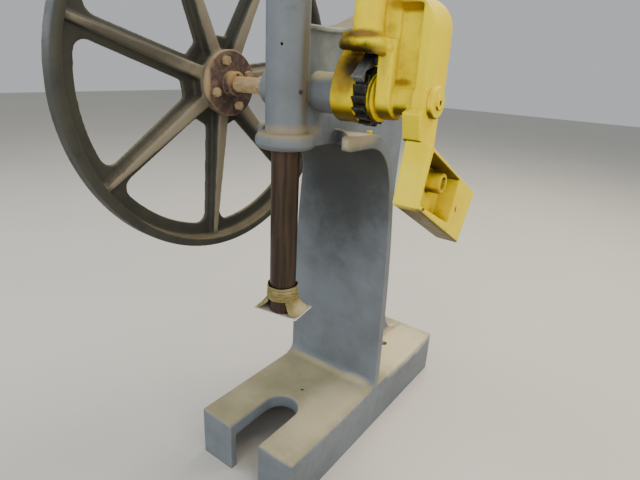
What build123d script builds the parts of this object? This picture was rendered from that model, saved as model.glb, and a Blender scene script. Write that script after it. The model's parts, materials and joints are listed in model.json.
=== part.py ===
from build123d import *

import os
from math import acos, atan2, cos, degrees, pi, radians, sin, sqrt, tan

# Large manual press: a ratchet lever and a handwheel turn a pinion that drives a round racked ram.
# Millimetres, +Z up. Origin: on the underside of the base, straight below the ram's axis.
# +X is the lever's side, -Y is the front with the slot for tall work.

# Base
base_width = 236.0
base_front = 104.0
base_rear = 479.0
base_height = 106.0
base_edge = 3.0
base_corner_radius = 5.0
base_plate = 29.0
base_wall = 14.0
base_inner_corner = 8.0
slot_width = 73.0
dowel_hole_radius = 3.2
dowel_hole_y = 73.0
dowel_hole_depth = 20.0
bolt_hole_radius = 9.0
bolt_hole_spacing = 88.0
bolt_hole_y = 351.0

# Column: a wide front flange that curves forward over the throat, and a web behind it
flange_front = 181.0
flange_thickness = 15.0
flange_waist_width = 228.0
flange_top_width = 206.0
flange_waist_z = 430.0
flange_shoulder_z = 585.0
foot_fillet = 20.0
throat_drop = 88.6
arch_thickness = 24.0
arch_inner_radius = 82.0
arch_outer_radius = 98.0
ear_front = 34.0
ear_width = 14.0
ear_inset = 3.0
ear_corner = 6.0
ear_round = 11.0
notch_rear = 98.0
notch_middle_x = 62.0
notch_middle_y = 80.0
web_thickness = 56.0
web_rear = 374.0
web_waist_rear = 356.0
web_waist_z = 440.0
web_flare_top_z = 205.0
web_foot_run = 22.0
web_foot_lift = 4.0
web_foot_rise = 42.0

# Head, by heights above and below the pinion shaft
shoulder_rise = 100.0
shoulder_y = 70.0
crown_rise = 139.4
crown_y = 262.0
head_rear = 364.0
head_rear_drop = 28.6
head_rim_width = 8.5
head_rim_proud = 3.5
head_rim_step = 0.6
head_rim_edge = 2.5
barrel_radius = 34.5
barrel_rise = 197.4
barrel_edge = 2.0
ring_radius = 51.0
ring_height = 27.0
ring_drop = 90.6
ring_edge = 13.0
oil_hole_radius = 2.2
oil_hole_rise = 68.4
oil_hole_angle = -65.0

# Rack and pinion
tooth_module = 4.0
pinion_teeth = 14
pressure_angle = 20.0
rack_addendum = 3.1
rack_dedendum = 4.6
gear_addendum = 3.6
gear_dedendum = 4.1
tooth_backlash = 0.3
pinion_width = 38.0
pinion_y = 47.0
pinion_z = 728.6
pinion_pocket_gap = 2.0
pinion_side_gap = 1.0

# Ram and what hangs on it
ram_radius = 24.0
ram_clearance = 0.06
ram_bottom_z = 336.0
ram_end_chamfer = 2.0
pinion_turn_down = 450.0
pinion_turn_up = 495.0
rack_margin = 34.0
collar_radius = 36.0
collar_height = 22.0
collar_edge = 1.5
collar_gap = 3.0
set_screw_radius = 4.0
set_screw_sink = 1.0
guide_screw_radius = 2.5
guide_screw_head_radius = 3.4
guide_screw_head_height = 2.2
guide_screw_slot = 0.9
guide_screw_angle = -12.0
guide_screw_rise = 1.0
guide_screw_gap = 0.5
plate_length = 90.0
plate_width = 62.0
plate_thickness = 2.5
plate_turn = 9.5
plate_x = -3.5
plate_y = 6.0
tape_top_z = 389.0
tape_neck_z = 366.0
tape_thickness = 2.2
tape_inset = 1.5
tape_corner = 7.0

# Spindle: shaft, bushes, collar and keys
shaft_radius = 14.0
running_clearance = 0.05
seat_clearance = 0.02
boss_radius = 32.0
boss_reach = 75.0
bush_radius = 18.5
bush_flange_radius = 24.0
bush_flange_thickness = 1.4
shaft_collar_radius = 18.0
shaft_collar_width = 22.0
shaft_collar_edge = 1.0
shaft_collar_screw_radius = 2.0
axial_gap = 0.3
key_width = 8.0
key_height = 7.0
key_seat = 10.0
key_length = 24.0
key_top_gap = 0.2
key_corner = 1.0

# Handwheel on its flange
wheel_radius = 320.0
wheel_band_thickness = 17.0
wheel_band_width = 33.0
wheel_front_x = -189.0
wheel_web_thickness = 9.0
wheel_web_inner_radius = 277.0
wheel_bead_radius = 4.0
wheel_fillet = 9.0
spoke_count = 7
spoke_first_angle = 265.0
spoke_width_hub = 46.0
spoke_width_rim = 36.0
spoke_rim_corner = 20.0
spoke_hub_corner = 9.0
spoke_hub_radius = 84.0
rib_width_hub = 25.0
rib_width_rim = 11.0
rib_height_hub = 22.0
rib_height_rim = 10.0
rib_edge = 2.5
wheel_hub_radius = 58.0
wheel_hub_edge = 3.0
shaft_set_back = 4.0
hub_flange_radius = 59.5
hub_flange_thickness = 11.0
hub_flange_lift = 2.0
hub_boss_radius = 22.0
hub_boss_length = 17.0
hub_edge = 1.5
hub_bolt_circle = 43.0
hub_bolt_angle = 20.0
hub_bolt_count = 4
hub_bolt_radius = 5.0
hub_bolt_length = 22.0
hub_bolt_head = 8.5
hub_bolt_head_height = 8.0
hub_screw_angle = 215.0
hub_screw_set_in = 6.0

# Ratchet
ratchet_teeth = 16
ratchet_radius = 43.5
ratchet_depth = 6.5
ratchet_land_angle = 3.0
ratchet_root_angle = 3.0
ratchet_width = 21.5
ratchet_key_length = 18.0
ratchet_contact_angle = 155.0
spacer_radius = 36.0
spacer_thickness = 7.5
spacer_gap = 3.4
thrust_washer_radius = 29.0
thrust_washer_thickness = 1.6

# Lever yoke, by distances from the shaft's axis: forward, back, above and below
left_cheek_radius = 41.0
left_cheek_width = 41.0
left_cheek_tangent = 172.0
left_cheek_waist_forward = 31.0
left_cheek_waist_rise = 35.9
left_cheek_top_forward = 9.0
right_cheek_radius = 31.0
right_cheek_width = 24.0
right_cheek_forward = 31.0
window_rise = 64.4
lip_rise = 81.4
lip_thickness = 15.5
lip_forward = 56.0
lip_left_inset = 14.0
lip_right_inset = 10.0
lip_edge = 6.0
lip_left_corner = 20.0
lip_right_corner = 14.0
lip_left_drop = 4.0
lip_right_drop = 10.0
lip_peak_inset = 31.0
lip_shoulder_rise = 9.5
lip_shoulder_run = 8.0
lip_shoulder_inset = 4.0
cheek_lap = 4.0
yoke_left_x = 100.0
yoke_forward = 17.0
yoke_back = 37.0
yoke_rise = 137.4
yoke_left_radius = 18.0
yoke_shoulder_radius = 45.0
yoke_edge = 5.0
arm_outer_x = 230.0
arm_width = 19.0
arm_forward = 25.0
arm_hub_radius = 33.0
sleeve_radius = 22.0
pocket_rise = 125.0
pocket_forward = 11.0
neck_width = 28.0
neck_drop = 14.0
neck_forward = 39.0
neck_back = 27.0
socket_radius = 22.5
socket_x = 132.0
socket_forward = 27.0
socket_rise = 211.4
socket_edge = 3.0
lever_bush_wall = 2.0

# Pawl, drawn in its ratchet tooth and then opened
pawl_pin_radius = 5.0
pawl_pin_forward = 9.0
pawl_pin_rise = 53.4
pawl_pin_inset = 7.0
pawl_width = 18.0
pawl_eye_radius = 8.0
pawl_arm_angle = 135.0
pawl_nose_radius = 37.8
pawl_nose_lag = 0.6
pawl_front_radius = 49.0
pawl_heel_radius = 47.0
pawl_heel_lag = 16.0
pawl_lift_angle = 12.0

# Handle
handle_radius = 14.0
handle_length = 560.0
handle_depth = 70.0
handle_end = 3.0
handle_screw_rise = 176.4
handle_screw_head = 8.0
handle_screw_head_height = 5.0
handle_screw_radius = 5.0

# Counterweight under the outer arm, by the corners of its side view: back from the shaft's axis and above it
weight_left_x = 207.0
weight_width = 41.0
weight_front_top = (-28.5, -51.9)
weight_rear_top = (192.0, -162.6)
weight_rear_bottom = (141.0, -246.6)
weight_front_bottom = (-50.0, -142.4)
hollow_front_top = (-17.0, -65.4)
hollow_rear_top = (104.5, -125.5)
hollow_rear_bottom = (80.0, -195.0)
hollow_front_bottom = (-41.5, -138.0)
weight_back_wall = 8.0
weight_edge = 2.0
weight_stub_radius = 17.0
weight_stub_length = 26.0
weight_stub_hole = 10.0
weight_stub_depth = 8.0
weight_stub_back = 53.5
weight_stub_drop = 124.4
weight_bolt_radius = 3.5
weight_bolt_head = 5.5
weight_bolt_head_height = 5.0
weight_bolt_reach = 20.0
weight_bolt_spacing = 12.0
weight_bolt_along = 18.0
neck_reach = 60.0

# Shaft end and the small stop screw on the arch
end_washer_radius = 22.5
end_washer_thickness = 8.0
end_washer_edge = 2.0
end_screw_radius = 6.0
end_screw_head_radius = 10.0
end_screw_head_height = 3.0
end_screw_length = 30.0
end_screw_socket = 4.0
stop_screw_radius = 4.0
stop_head_radius = 5.5
stop_head_height = 5.0
stop_screw_depth = 14.0
stop_screw_sink = 2.0
stop_x = 90.0
stop_y = 116.0

# Sizes worked out from the ones above
cut_margin = 1.0
half_base = base_width / 2
half_web = web_thickness / 2
flange_rear = flange_front + flange_thickness
throat_z = pinion_z - throat_drop
arch_top_z = throat_z + arch_thickness
arch_inner_y = flange_front - arch_inner_radius
arch_outer_y = flange_rear - arch_outer_radius
shoulder_z = pinion_z + shoulder_rise
crown_z = pinion_z + crown_rise
head_rear_z = pinion_z - head_rear_drop
barrel_top_z = pinion_z + barrel_rise
ring_bottom_z = pinion_z - ring_drop
oil_hole_z = pinion_z + oil_hole_rise
guide_screw_z = pinion_z + guide_screw_rise
pitch_radius = tooth_module * pinion_teeth / 2
base_circle_radius = pitch_radius * cos(radians(pressure_angle))
pinion_tip_radius = pitch_radius + gear_addendum
pinion_root_radius = pitch_radius - gear_dedendum
rack_pitch = pi * tooth_module
rack_pitch_y = pinion_y - pitch_radius
rack_tip_y = rack_pitch_y + rack_addendum
rack_root_y = rack_pitch_y - rack_dedendum
travel_down = pitch_radius * radians(pinion_turn_down)
travel_up = pitch_radius * radians(pinion_turn_up)
pinion_half = pinion_width / 2
pocket_half = pinion_half + pinion_side_gap
ram_top_z = barrel_top_z + travel_down + collar_gap + collar_height
collar_bottom_z = ram_top_z - collar_height
seat_radius = shaft_radius + seat_clearance
run_radius = shaft_radius + running_clearance
wheel_back_x = wheel_front_x - wheel_band_width
wheel_web_x = wheel_back_x + wheel_web_thickness
band_inner_radius = wheel_radius - wheel_band_thickness
hub_face_x = wheel_front_x + hub_flange_lift
hub_flange_front_x = hub_face_x + hub_flange_thickness
hub_boss_end_x = hub_flange_front_x + hub_boss_length
bush_face_x = boss_reach + bush_flange_thickness
collar_end_x = -bush_face_x - axial_gap
left_cheek_x = bush_face_x + thrust_washer_thickness + axial_gap
window_x = left_cheek_x + left_cheek_width
ratchet_x = window_x + axial_gap
spacer_x = ratchet_x + ratchet_width
right_cheek_x = spacer_x + spacer_thickness + spacer_gap
panel_x = right_cheek_x + right_cheek_width
arm_inner_x = arm_outer_x - arm_width
end_washer_x = arm_outer_x + axial_gap
shaft_start_x = wheel_back_x + shaft_set_back
ratchet_pitch = 360.0 / ratchet_teeth
lever_bush_radius = run_radius + lever_bush_wall
window_top_z = pinion_z + window_rise
lip_top_z = pinion_z + lip_rise
lip_front = pinion_y - lip_forward
lip_left_x = left_cheek_x + lip_left_inset
lip_right_x = panel_x - lip_right_inset
yoke_front = pinion_y - yoke_forward
yoke_rear = pinion_y + yoke_back
yoke_top_z = pinion_z + yoke_rise
arm_front = pinion_y - arm_forward
pocket_top_z = pinion_z + pocket_rise
pocket_floor = pinion_y - pocket_forward
cove_radius = pocket_floor - arm_front
cove_z = pocket_top_z - cove_radius
socket_y = pinion_y - socket_forward
socket_top_z = pinion_z + socket_rise
handle_bottom_z = socket_top_z - handle_depth
handle_screw_z = pinion_z + handle_screw_rise
pawl_pin_y = pinion_y - pawl_pin_forward
pawl_pin_z = pinion_z + pawl_pin_rise
hollow_x = weight_left_x + weight_back_wall
shaft_axis = Axis((0, pinion_y, pinion_z), (1, 0, 0))

os.makedirs("parts", exist_ok=True)


def save(piece, label):
    """Name a finished piece and write it as one STEP file."""
    piece.part.label = label
    export_step(piece.part, f"parts/{label}.step")


def side_view(x):
    """The plane across the shaft at a place x: local x is +Y and local y is +Z."""
    return Plane(origin=(x, 0, 0), x_dir=(0, 1, 0), z_dir=(1, 0, 0))


def on_shaft(x):
    """A side-view plane whose origin lies on the shaft's axis."""
    return Plane(origin=(x, pinion_y, pinion_z), x_dir=(0, 1, 0), z_dir=(1, 0, 0))


def level(z):
    """The plan-view plane at a height."""
    return Plane.XY.offset(z)


def polar(radius, angle):
    """A point at a radius and an angle in degrees."""
    return (radius * cos(radians(angle)), radius * sin(radians(angle)))


def around_shaft(radius, angle):
    """A side-view point at a radius from the shaft's axis and an angle from +Y toward +Z."""
    y, z = polar(radius, angle)
    return (pinion_y + y, pinion_z + z)


def outward_from_ram(angle, z):
    """A plane on the ram's axis that faces outward at an angle from +X."""
    facing = (cos(radians(angle)), sin(radians(angle)), 0)
    return Plane(origin=(0, 0, z), x_dir=(-facing[1], facing[0], 0), z_dir=facing)


def outward_from_shaft(angle, x):
    """A plane on the shaft's axis that faces outward at an angle from +Y toward +Z."""
    facing = (0, cos(radians(angle)), sin(radians(angle)))
    return Plane(origin=(x, pinion_y, pinion_z), x_dir=(1, 0, 0), z_dir=facing)


def from_shaft(corner):
    """A side-view point given by its distances back from the shaft's axis and above it."""
    return (pinion_y + corner[0], pinion_z + corner[1])


def slope_of(corner, far_corner):
    """The angle of the line between two corners in side view, in degrees."""
    return degrees(atan2(far_corner[1] - corner[1], far_corner[0] - corner[0]))


def along_slope(corner, slope, distance):
    """A side-view point at a distance from a corner along a slope."""
    along_y, along_z = polar(distance, slope)
    corner_y, corner_z = from_shaft(corner)
    return (corner_y + along_y, corner_z + along_z)


def front_view(y):
    """The plane across the ram's axis at a place y: local x is +X and local y is +Z."""
    return Plane(origin=(0, y, 0), x_dir=(1, 0, 0), z_dir=(0, -1, 0))


def lip_band(bottom_z, top_z):
    """Front view of the yoke's lip between two heights; both edges droop toward the sides."""
    left_x = lip_left_x - cut_margin
    right_x = lip_right_x + cut_margin
    peak_x = lip_left_x + lip_peak_inset
    with BuildSketch(mode=Mode.PRIVATE) as band:
        with BuildLine():
            Spline(
                (left_x, bottom_z - lip_left_drop),
                (peak_x, bottom_z),
                (right_x, bottom_z - lip_right_drop),
            )
            Line((right_x, bottom_z - lip_right_drop), (right_x, top_z - lip_right_drop))
            Spline(
                (right_x, top_z - lip_right_drop),
                (peak_x, top_z),
                (left_x, top_z - lip_left_drop),
            )
            Line((left_x, top_z - lip_left_drop), (left_x, bottom_z - lip_left_drop))
        make_face()
    return band.sketch


def lip_outline(inset):
    """Plan view of the yoke's lip with rounded front corners, moved inward by a distance."""
    with BuildSketch(mode=Mode.PRIVATE) as plan:
        with Locations(((lip_left_x + lip_right_x) / 2, (lip_front + yoke_rear) / 2)):
            Rectangle(lip_right_x - lip_left_x - 2 * inset, yoke_rear - lip_front - 2 * inset)
        fillet(plan.vertices().group_by(Axis.Y)[0].sort_by(Axis.X)[0], radius=lip_left_corner - inset)
        fillet(plan.vertices().group_by(Axis.Y)[0].sort_by(Axis.X)[-1], radius=lip_right_corner - inset)
    return plan.sketch


def head_curve(inset):
    """Top outline of the head in side view, from its rear to its shoulder, moved inward by a distance."""
    return Spline(
        (head_rear - inset, head_rear_z),
        (crown_y, crown_z - inset),
        (shoulder_y, shoulder_z - inset),
        tangents=((0, 1), (-1, 0)),
    )


def keyed_bore(x):
    """The shaft's bore with a keyway at its top, as a sketch across the shaft."""
    with BuildSketch(on_shaft(x), mode=Mode.PRIVATE) as bore:
        Circle(seat_radius)
        with Locations((0, (key_seat + key_height + key_top_gap) / 2)):
            Rectangle(key_width + 2 * seat_clearance, key_seat + key_height + key_top_gap)
    return bore.sketch


def key_at(label, middle_x, length):
    """A parallel key on top of the shaft, centred at a place along it."""
    with BuildPart() as key:
        with BuildSketch(on_shaft(middle_x - length / 2 + seat_clearance)):
            with Locations((0, key_seat + key_height / 2 + seat_clearance)):
                RectangleRounded(key_width, key_height, key_corner)
        extrude(amount=length - 2 * seat_clearance)
    save(key, label)


# The flange: one ribbon in side view, trimmed to its front outline and then to its plan outline
with BuildPart() as flange:
    foot_mid = foot_fillet * (1 - sqrt(0.5))
    ear_mid = ear_round * (1 - sqrt(0.5))
    foot_z = base_height - cut_margin
    with BuildSketch(side_view(0)):
        with BuildLine():
            ThreePointArc(
                (flange_front - foot_fillet, base_height),
                (flange_front - foot_mid, base_height + foot_mid),
                (flange_front, base_height + foot_fillet),
            )
            arch_foot_z = throat_z - arch_inner_radius
            Line((flange_front, base_height + foot_fillet), (flange_front, arch_foot_z))
            RadiusArc((flange_front, arch_foot_z), (arch_inner_y, throat_z), -arch_inner_radius)
            Line((arch_inner_y, throat_z), (ear_front + ear_round, throat_z))
            ThreePointArc(
                (ear_front + ear_round, throat_z),
                (ear_front + ear_mid, throat_z + ear_mid),
                (ear_front, throat_z + ear_round),
            )
            Line((ear_front, throat_z + ear_round), (ear_front, arch_top_z - ear_round))
            ThreePointArc(
                (ear_front, arch_top_z - ear_round),
                (ear_front + ear_mid, arch_top_z - ear_mid),
                (ear_front + ear_round, arch_top_z),
            )
            Line((ear_front + ear_round, arch_top_z), (arch_outer_y, arch_top_z))
            arch_rear_z = arch_top_z - arch_outer_radius
            RadiusArc((arch_outer_y, arch_top_z), (flange_rear, arch_rear_z), arch_outer_radius)
            Polyline(
                (flange_rear, arch_rear_z),
                (flange_rear, foot_z),
                (flange_front - foot_fillet, foot_z),
                (flange_front - foot_fillet, base_height),
            )
        make_face()
    extrude(amount=half_base, both=True)
    with BuildSketch(Plane.XZ):
        with BuildLine():
            Polyline((0, foot_z), (half_base, foot_z), (half_base, base_height + foot_fillet))
            Spline(
                (half_base, base_height + foot_fillet),
                (flange_waist_width / 2, flange_waist_z),
                (flange_top_width / 2, flange_shoulder_z),
                tangents=((0, 1), (-0.1, 1)),
            )
            Polyline(
                (flange_top_width / 2, flange_shoulder_z),
                (flange_top_width / 2, arch_top_z + cut_margin),
                (0, arch_top_z + cut_margin),
            )
            mirror(about=Plane.YZ)
        make_face()
    extrude(amount=base_rear, both=True, mode=Mode.INTERSECT)
    with BuildSketch():
        ear_outer = flange_top_width / 2 - ear_inset
        ear_inner = ear_outer - ear_width
        nose_y = ear_front + ear_corner
        with BuildLine():
            Line((0, notch_rear), (half_web, notch_rear))
            Spline(
                (half_web, notch_rear),
                (notch_middle_x, notch_middle_y),
                (ear_inner, nose_y),
                tangents=((1, 0), (0, -1)),
            )
            RadiusArc((ear_inner, nose_y), (ear_inner + ear_corner, ear_front), -ear_corner)
            Line((ear_inner + ear_corner, ear_front), (ear_outer - ear_corner, ear_front))
            RadiusArc((ear_outer - ear_corner, ear_front), (ear_outer, nose_y), -ear_corner)
            Polyline(
                (ear_outer, nose_y),
                (flange_top_width / 2, arch_inner_y),
                (flange_top_width / 2, flange_front - foot_fillet - cut_margin),
                (half_base, flange_front - foot_fillet - cut_margin),
                (half_base, base_rear),
                (0, base_rear),
            )
            mirror(about=Plane.YZ)
        make_face()
    extrude(amount=arch_top_z + cut_margin, mode=Mode.INTERSECT)

# Side view of the web and the head in one outline
with BuildSketch(side_view(0)) as web_outline:
    with BuildLine():
        Bezier(
            (base_rear - base_edge, base_height),
            (web_rear + web_foot_run, base_height + web_foot_lift),
            (web_rear, base_height + web_foot_rise),
            (web_rear, web_flare_top_z),
        )
        Spline(
            (web_rear, web_flare_top_z),
            (web_waist_rear, web_waist_z),
            (head_rear, head_rear_z),
            tangents=((0, 1), (0, 1)),
        )
        head_curve(0)
        Polyline((shoulder_y, shoulder_z), (0, shoulder_z), (0, throat_z), (arch_inner_y, throat_z))
        RadiusArc((arch_inner_y, throat_z), (flange_front, throat_z - arch_inner_radius), arch_inner_radius)
        Polyline(
            (flange_front, throat_z - arch_inner_radius),
            (flange_front, foot_z),
            (base_rear - base_edge, foot_z),
            (base_rear - base_edge, base_height),
        )
    make_face()

# Raised rim along the top of the head, a hair below its top face; the left one is its mirror image
with BuildPart() as head_rim:
    with BuildSketch(side_view(half_web - cut_margin)):
        with BuildLine():
            Polyline(
                (0, shoulder_z - head_rim_width),
                (0, shoulder_z - head_rim_step),
                (shoulder_y, shoulder_z - head_rim_step),
            )
            head_curve(head_rim_step)
            Line((head_rear - head_rim_step, head_rear_z), (head_rear - head_rim_width, head_rear_z))
            head_curve(head_rim_width)
            Line((shoulder_y, shoulder_z - head_rim_width), (0, shoulder_z - head_rim_width))
        make_face()
    extrude(amount=head_rim_proud + cut_margin)
    outer_face = head_rim.faces().sort_by(Axis.X)[-1]
    fillet(outer_face.edges().sort_by(SortBy.LENGTH)[-4:], radius=head_rim_edge)

# The frame is one casting
with BuildPart() as frame_casting:
    with BuildSketch():
        with Locations((0, (base_rear - base_front) / 2)):
            RectangleRounded(base_width, base_rear + base_front, base_corner_radius)
        Circle(slot_width / 2, mode=Mode.SUBTRACT)
        with Locations((0, -base_front / 2)):
            Rectangle(slot_width, base_front, mode=Mode.SUBTRACT)
    extrude(amount=base_height)
    chamfer(frame_casting.faces().sort_by(Axis.Z)[-1].edges(), length=base_edge)
    # Hollow under the base's plate, open below
    with BuildSketch():
        with Locations((0, (base_rear - base_front) / 2)):
            RectangleRounded(
                base_width - 2 * base_wall,
                base_rear + base_front - 2 * base_wall,
                base_inner_corner,
            )
    extrude(amount=base_height - base_plate, mode=Mode.SUBTRACT)
    add(flange.part)
    extrude(web_outline.sketch, amount=half_web, both=True)
    add(head_rim.part)
    mirror(head_rim.part, about=Plane.YZ)
    # Barrel for the ram, with a rounded ring round its foot
    with BuildSketch(level(ring_bottom_z)):
        Circle(barrel_radius)
    extrude(amount=barrel_top_z - ring_bottom_z)
    chamfer(frame_casting.faces().sort_by(Axis.Z)[-1].edges(), length=barrel_edge)
    with BuildSketch(Plane.XZ):
        with Locations((0, ring_bottom_z + ring_height / 2)):
            RectangleRounded(2 * ring_radius, ring_height, ring_edge)
        with Locations((-ring_radius, ring_bottom_z)):
            Rectangle(2 * ring_radius, 3 * ring_height, mode=Mode.SUBTRACT)
    revolve(axis=Axis.Z)
    # Bosses for the pinion shaft
    with BuildSketch(on_shaft(-boss_reach)):
        Circle(boss_radius)
    extrude(amount=2 * boss_reach)
    # Bores for the ram, the pinion and the bushes
    with BuildSketch(level(ring_bottom_z - cut_margin)):
        Circle(ram_radius + ram_clearance)
    extrude(amount=barrel_top_z - ring_bottom_z + 2 * cut_margin, mode=Mode.SUBTRACT)
    with BuildSketch(on_shaft(-pocket_half)):
        Circle(pinion_tip_radius + pinion_pocket_gap)
    extrude(amount=2 * pocket_half, mode=Mode.SUBTRACT)
    with BuildSketch(on_shaft(-boss_reach - cut_margin)):
        Circle(bush_radius + seat_clearance)
    extrude(amount=2 * (boss_reach + cut_margin), mode=Mode.SUBTRACT)
    # Small holes in the barrel, the arch and the base
    with BuildSketch(outward_from_ram(oil_hole_angle, oil_hole_z)):
        Circle(oil_hole_radius)
    extrude(amount=ring_radius, mode=Mode.SUBTRACT)
    with BuildSketch(outward_from_ram(guide_screw_angle, guide_screw_z)):
        Circle(guide_screw_radius + seat_clearance)
    extrude(amount=ring_radius, mode=Mode.SUBTRACT)
    with Locations((stop_x, stop_y, arch_top_z)):
        Hole(stop_screw_radius + seat_clearance, stop_screw_sink + stop_screw_depth)
    with Locations((stop_x, stop_y, arch_top_z)):
        Hole(stop_head_radius + cut_margin, stop_screw_sink)
    with Locations((0, dowel_hole_y, base_height)):
        Hole(dowel_hole_radius, dowel_hole_depth)
    with Locations((0, bolt_hole_y, base_height)):
        with GridLocations(bolt_hole_spacing, 0, 2, 1):
            Hole(bolt_hole_radius, base_plate)
save(frame_casting, "frame_casting")

# Screw beside the shaft boss, short of the ram
with BuildPart() as guide_screw:
    guide_plane = outward_from_ram(guide_screw_angle, guide_screw_z)
    with BuildSketch(guide_plane.offset(ram_radius + guide_screw_gap)):
        Circle(guide_screw_radius)
    extrude(amount=barrel_radius - ram_radius - guide_screw_gap + cut_margin)
    with BuildSketch(guide_plane.offset(barrel_radius)):
        Circle(guide_screw_head_radius)
    extrude(amount=guide_screw_head_height)
    with BuildSketch(guide_plane.offset(barrel_radius + guide_screw_head_height)):
        Rectangle(2 * guide_screw_head_radius, guide_screw_slot)
    extrude(amount=-guide_screw_head_height / 2, mode=Mode.SUBTRACT)
save(guide_screw, "guide_screw")

# Small stop screw on the arch, below the ratchet, seated in a shallow spot face
stop_seat_z = arch_top_z - stop_screw_sink
with BuildPart() as stop_screw:
    with BuildSketch(level(stop_seat_z - stop_screw_depth + axial_gap)):
        with Locations((stop_x, stop_y)):
            Circle(stop_screw_radius)
    extrude(amount=stop_screw_depth)
    with BuildSketch(level(stop_seat_z)):
        with Locations((stop_x, stop_y)):
            RegularPolygon(stop_head_radius, 6)
    extrude(amount=stop_head_height)
save(stop_screw, "stop_screw")

# Bushes for the pinion shaft, each with a thin flange outside its boss
for label, sense in (("shaft_bush_left", -1), ("shaft_bush_right", 1)):
    with BuildPart() as shaft_bush:
        with BuildSketch(on_shaft(sense * (pocket_half + axial_gap))):
            Circle(bush_radius)
            Circle(run_radius, mode=Mode.SUBTRACT)
        extrude(amount=sense * (bush_face_x - pocket_half - axial_gap))
        with BuildSketch(on_shaft(sense * boss_reach)):
            Circle(bush_flange_radius)
            Circle(run_radius, mode=Mode.SUBTRACT)
        extrude(amount=sense * bush_flange_thickness)
    save(shaft_bush, label)

with BuildPart() as thrust_washer:
    with BuildSketch(on_shaft(bush_face_x)):
        Circle(thrust_washer_radius)
        Circle(run_radius, mode=Mode.SUBTRACT)
    extrude(amount=thrust_washer_thickness)
save(thrust_washer, "thrust_washer")

# Ram with the rack cut in its rear side; a rack tooth stands level with the shaft
with BuildPart() as ram:
    with BuildSketch(level(ram_bottom_z)):
        Circle(ram_radius)
    extrude(amount=ram_top_z - ram_bottom_z)
    chamfer(ram.edges().filter_by(GeomType.CIRCLE), length=ram_end_chamfer)
    rack_bottom_z = pinion_z - travel_up - rack_margin
    rack_top_z = pinion_z + travel_down + rack_margin
    with BuildSketch(side_view(0)):
        with Locations(((rack_tip_y + ram_radius + cut_margin) / 2, (rack_bottom_z + rack_top_z) / 2)):
            Rectangle(ram_radius + cut_margin - rack_tip_y, rack_top_z - rack_bottom_z)
    extrude(amount=ram_radius, both=True, mode=Mode.SUBTRACT)
    gap_half = rack_pitch / 4 + tooth_backlash / 4
    flank = tan(radians(pressure_angle))
    gaps_below = int((travel_up + rack_margin) / rack_pitch - 0.5)
    gaps_above = int((travel_down + rack_margin) / rack_pitch - 0.5)
    with BuildSketch(side_view(0)):
        for step in range(-gaps_below - 1, gaps_above + 1):
            gap_z = pinion_z + (step + 0.5) * rack_pitch
            root_half = gap_half - rack_dedendum * flank
            tip_half = gap_half + (rack_addendum + cut_margin) * flank
            with BuildLine():
                Polyline(
                    (rack_root_y, gap_z - root_half),
                    (rack_tip_y + cut_margin, gap_z - tip_half),
                    (rack_tip_y + cut_margin, gap_z + tip_half),
                    (rack_root_y, gap_z + root_half),
                    close=True,
                )
            make_face()
    extrude(amount=ram_radius, both=True, mode=Mode.SUBTRACT)
save(ram, "ram")

# Stop collar clamped on the ram's top
with BuildPart() as ram_collar:
    with BuildSketch(level(collar_bottom_z)):
        Circle(collar_radius)
    extrude(amount=collar_height)
    chamfer(ram_collar.edges().filter_by(GeomType.CIRCLE), length=collar_edge)
    with BuildSketch(level(collar_bottom_z)):
        Circle(ram_radius + seat_clearance)
    extrude(amount=collar_height, mode=Mode.SUBTRACT)
    with BuildSketch(outward_from_ram(-90, collar_bottom_z + collar_height / 2)):
        Circle(set_screw_radius + seat_clearance)
    extrude(amount=collar_radius + cut_margin, mode=Mode.SUBTRACT)
save(ram_collar, "ram_collar")

with BuildPart() as ram_collar_screw:
    screw_start = ram_radius + seat_clearance
    with BuildSketch(outward_from_ram(-90, collar_bottom_z + collar_height / 2).offset(screw_start)):
        Circle(set_screw_radius)
    extrude(amount=collar_radius - ram_radius - set_screw_sink)
save(ram_collar_screw, "ram_collar_screw")

# Thin plate taped under the ram
plate_plane = Plane(
    origin=(plate_x, plate_y, ram_bottom_z),
    x_dir=(*polar(1, plate_turn), 0),
    z_dir=(0, 0, 1),
)
with BuildPart() as nose_plate:
    with BuildSketch(plate_plane):
        RectangleRounded(plate_length, plate_width, tape_inset)
    extrude(amount=-plate_thickness)
save(nose_plate, "nose_plate")

# Tape wound round the ram's end and spread over the plate
with BuildPart() as nose_tape:
    with BuildSketch(plate_plane):
        RectangleRounded(plate_length - 2 * tape_inset, plate_width - 2 * tape_inset, tape_corner)
    with BuildSketch(level(tape_neck_z)):
        Circle(ram_radius + tape_thickness)
    loft()
    with BuildSketch(level(tape_neck_z)):
        Circle(ram_radius + tape_thickness)
    extrude(amount=tape_top_z - tape_neck_z)
    with BuildSketch(level(ram_bottom_z)):
        Circle(ram_radius + seat_clearance)
    extrude(amount=tape_top_z - ram_bottom_z, mode=Mode.SUBTRACT)
save(nose_tape, "nose_tape")

# Pinion shaft with three keyways and a tapped right end
flange_key_x = (hub_face_x + hub_boss_end_x) / 2
ratchet_key_x = ratchet_x + ratchet_width / 2
with BuildPart() as pinion_shaft:
    with BuildSketch(on_shaft(shaft_start_x)):
        Circle(shaft_radius)
    extrude(amount=end_washer_x - shaft_start_x)
    for key_x, length in ((flange_key_x, key_length), (0, key_length), (ratchet_key_x, ratchet_key_length)):
        with BuildSketch(on_shaft(key_x - length / 2)):
            with Locations((0, key_seat + key_height / 2)):
                Rectangle(key_width + 2 * seat_clearance, key_height)
        extrude(amount=length, mode=Mode.SUBTRACT)
    with BuildSketch(on_shaft(end_washer_x)):
        Circle(end_screw_radius + seat_clearance)
    extrude(amount=-end_screw_length, mode=Mode.SUBTRACT)
save(pinion_shaft, "pinion_shaft")

key_at("flange_key", flange_key_x, key_length)
key_at("pinion_key", 0, key_length)
key_at("ratchet_key", ratchet_key_x, ratchet_key_length)


def involute(angle):
    """How far an involute has turned where its pressure angle is this one, in radians."""
    return tan(angle) - angle


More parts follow.
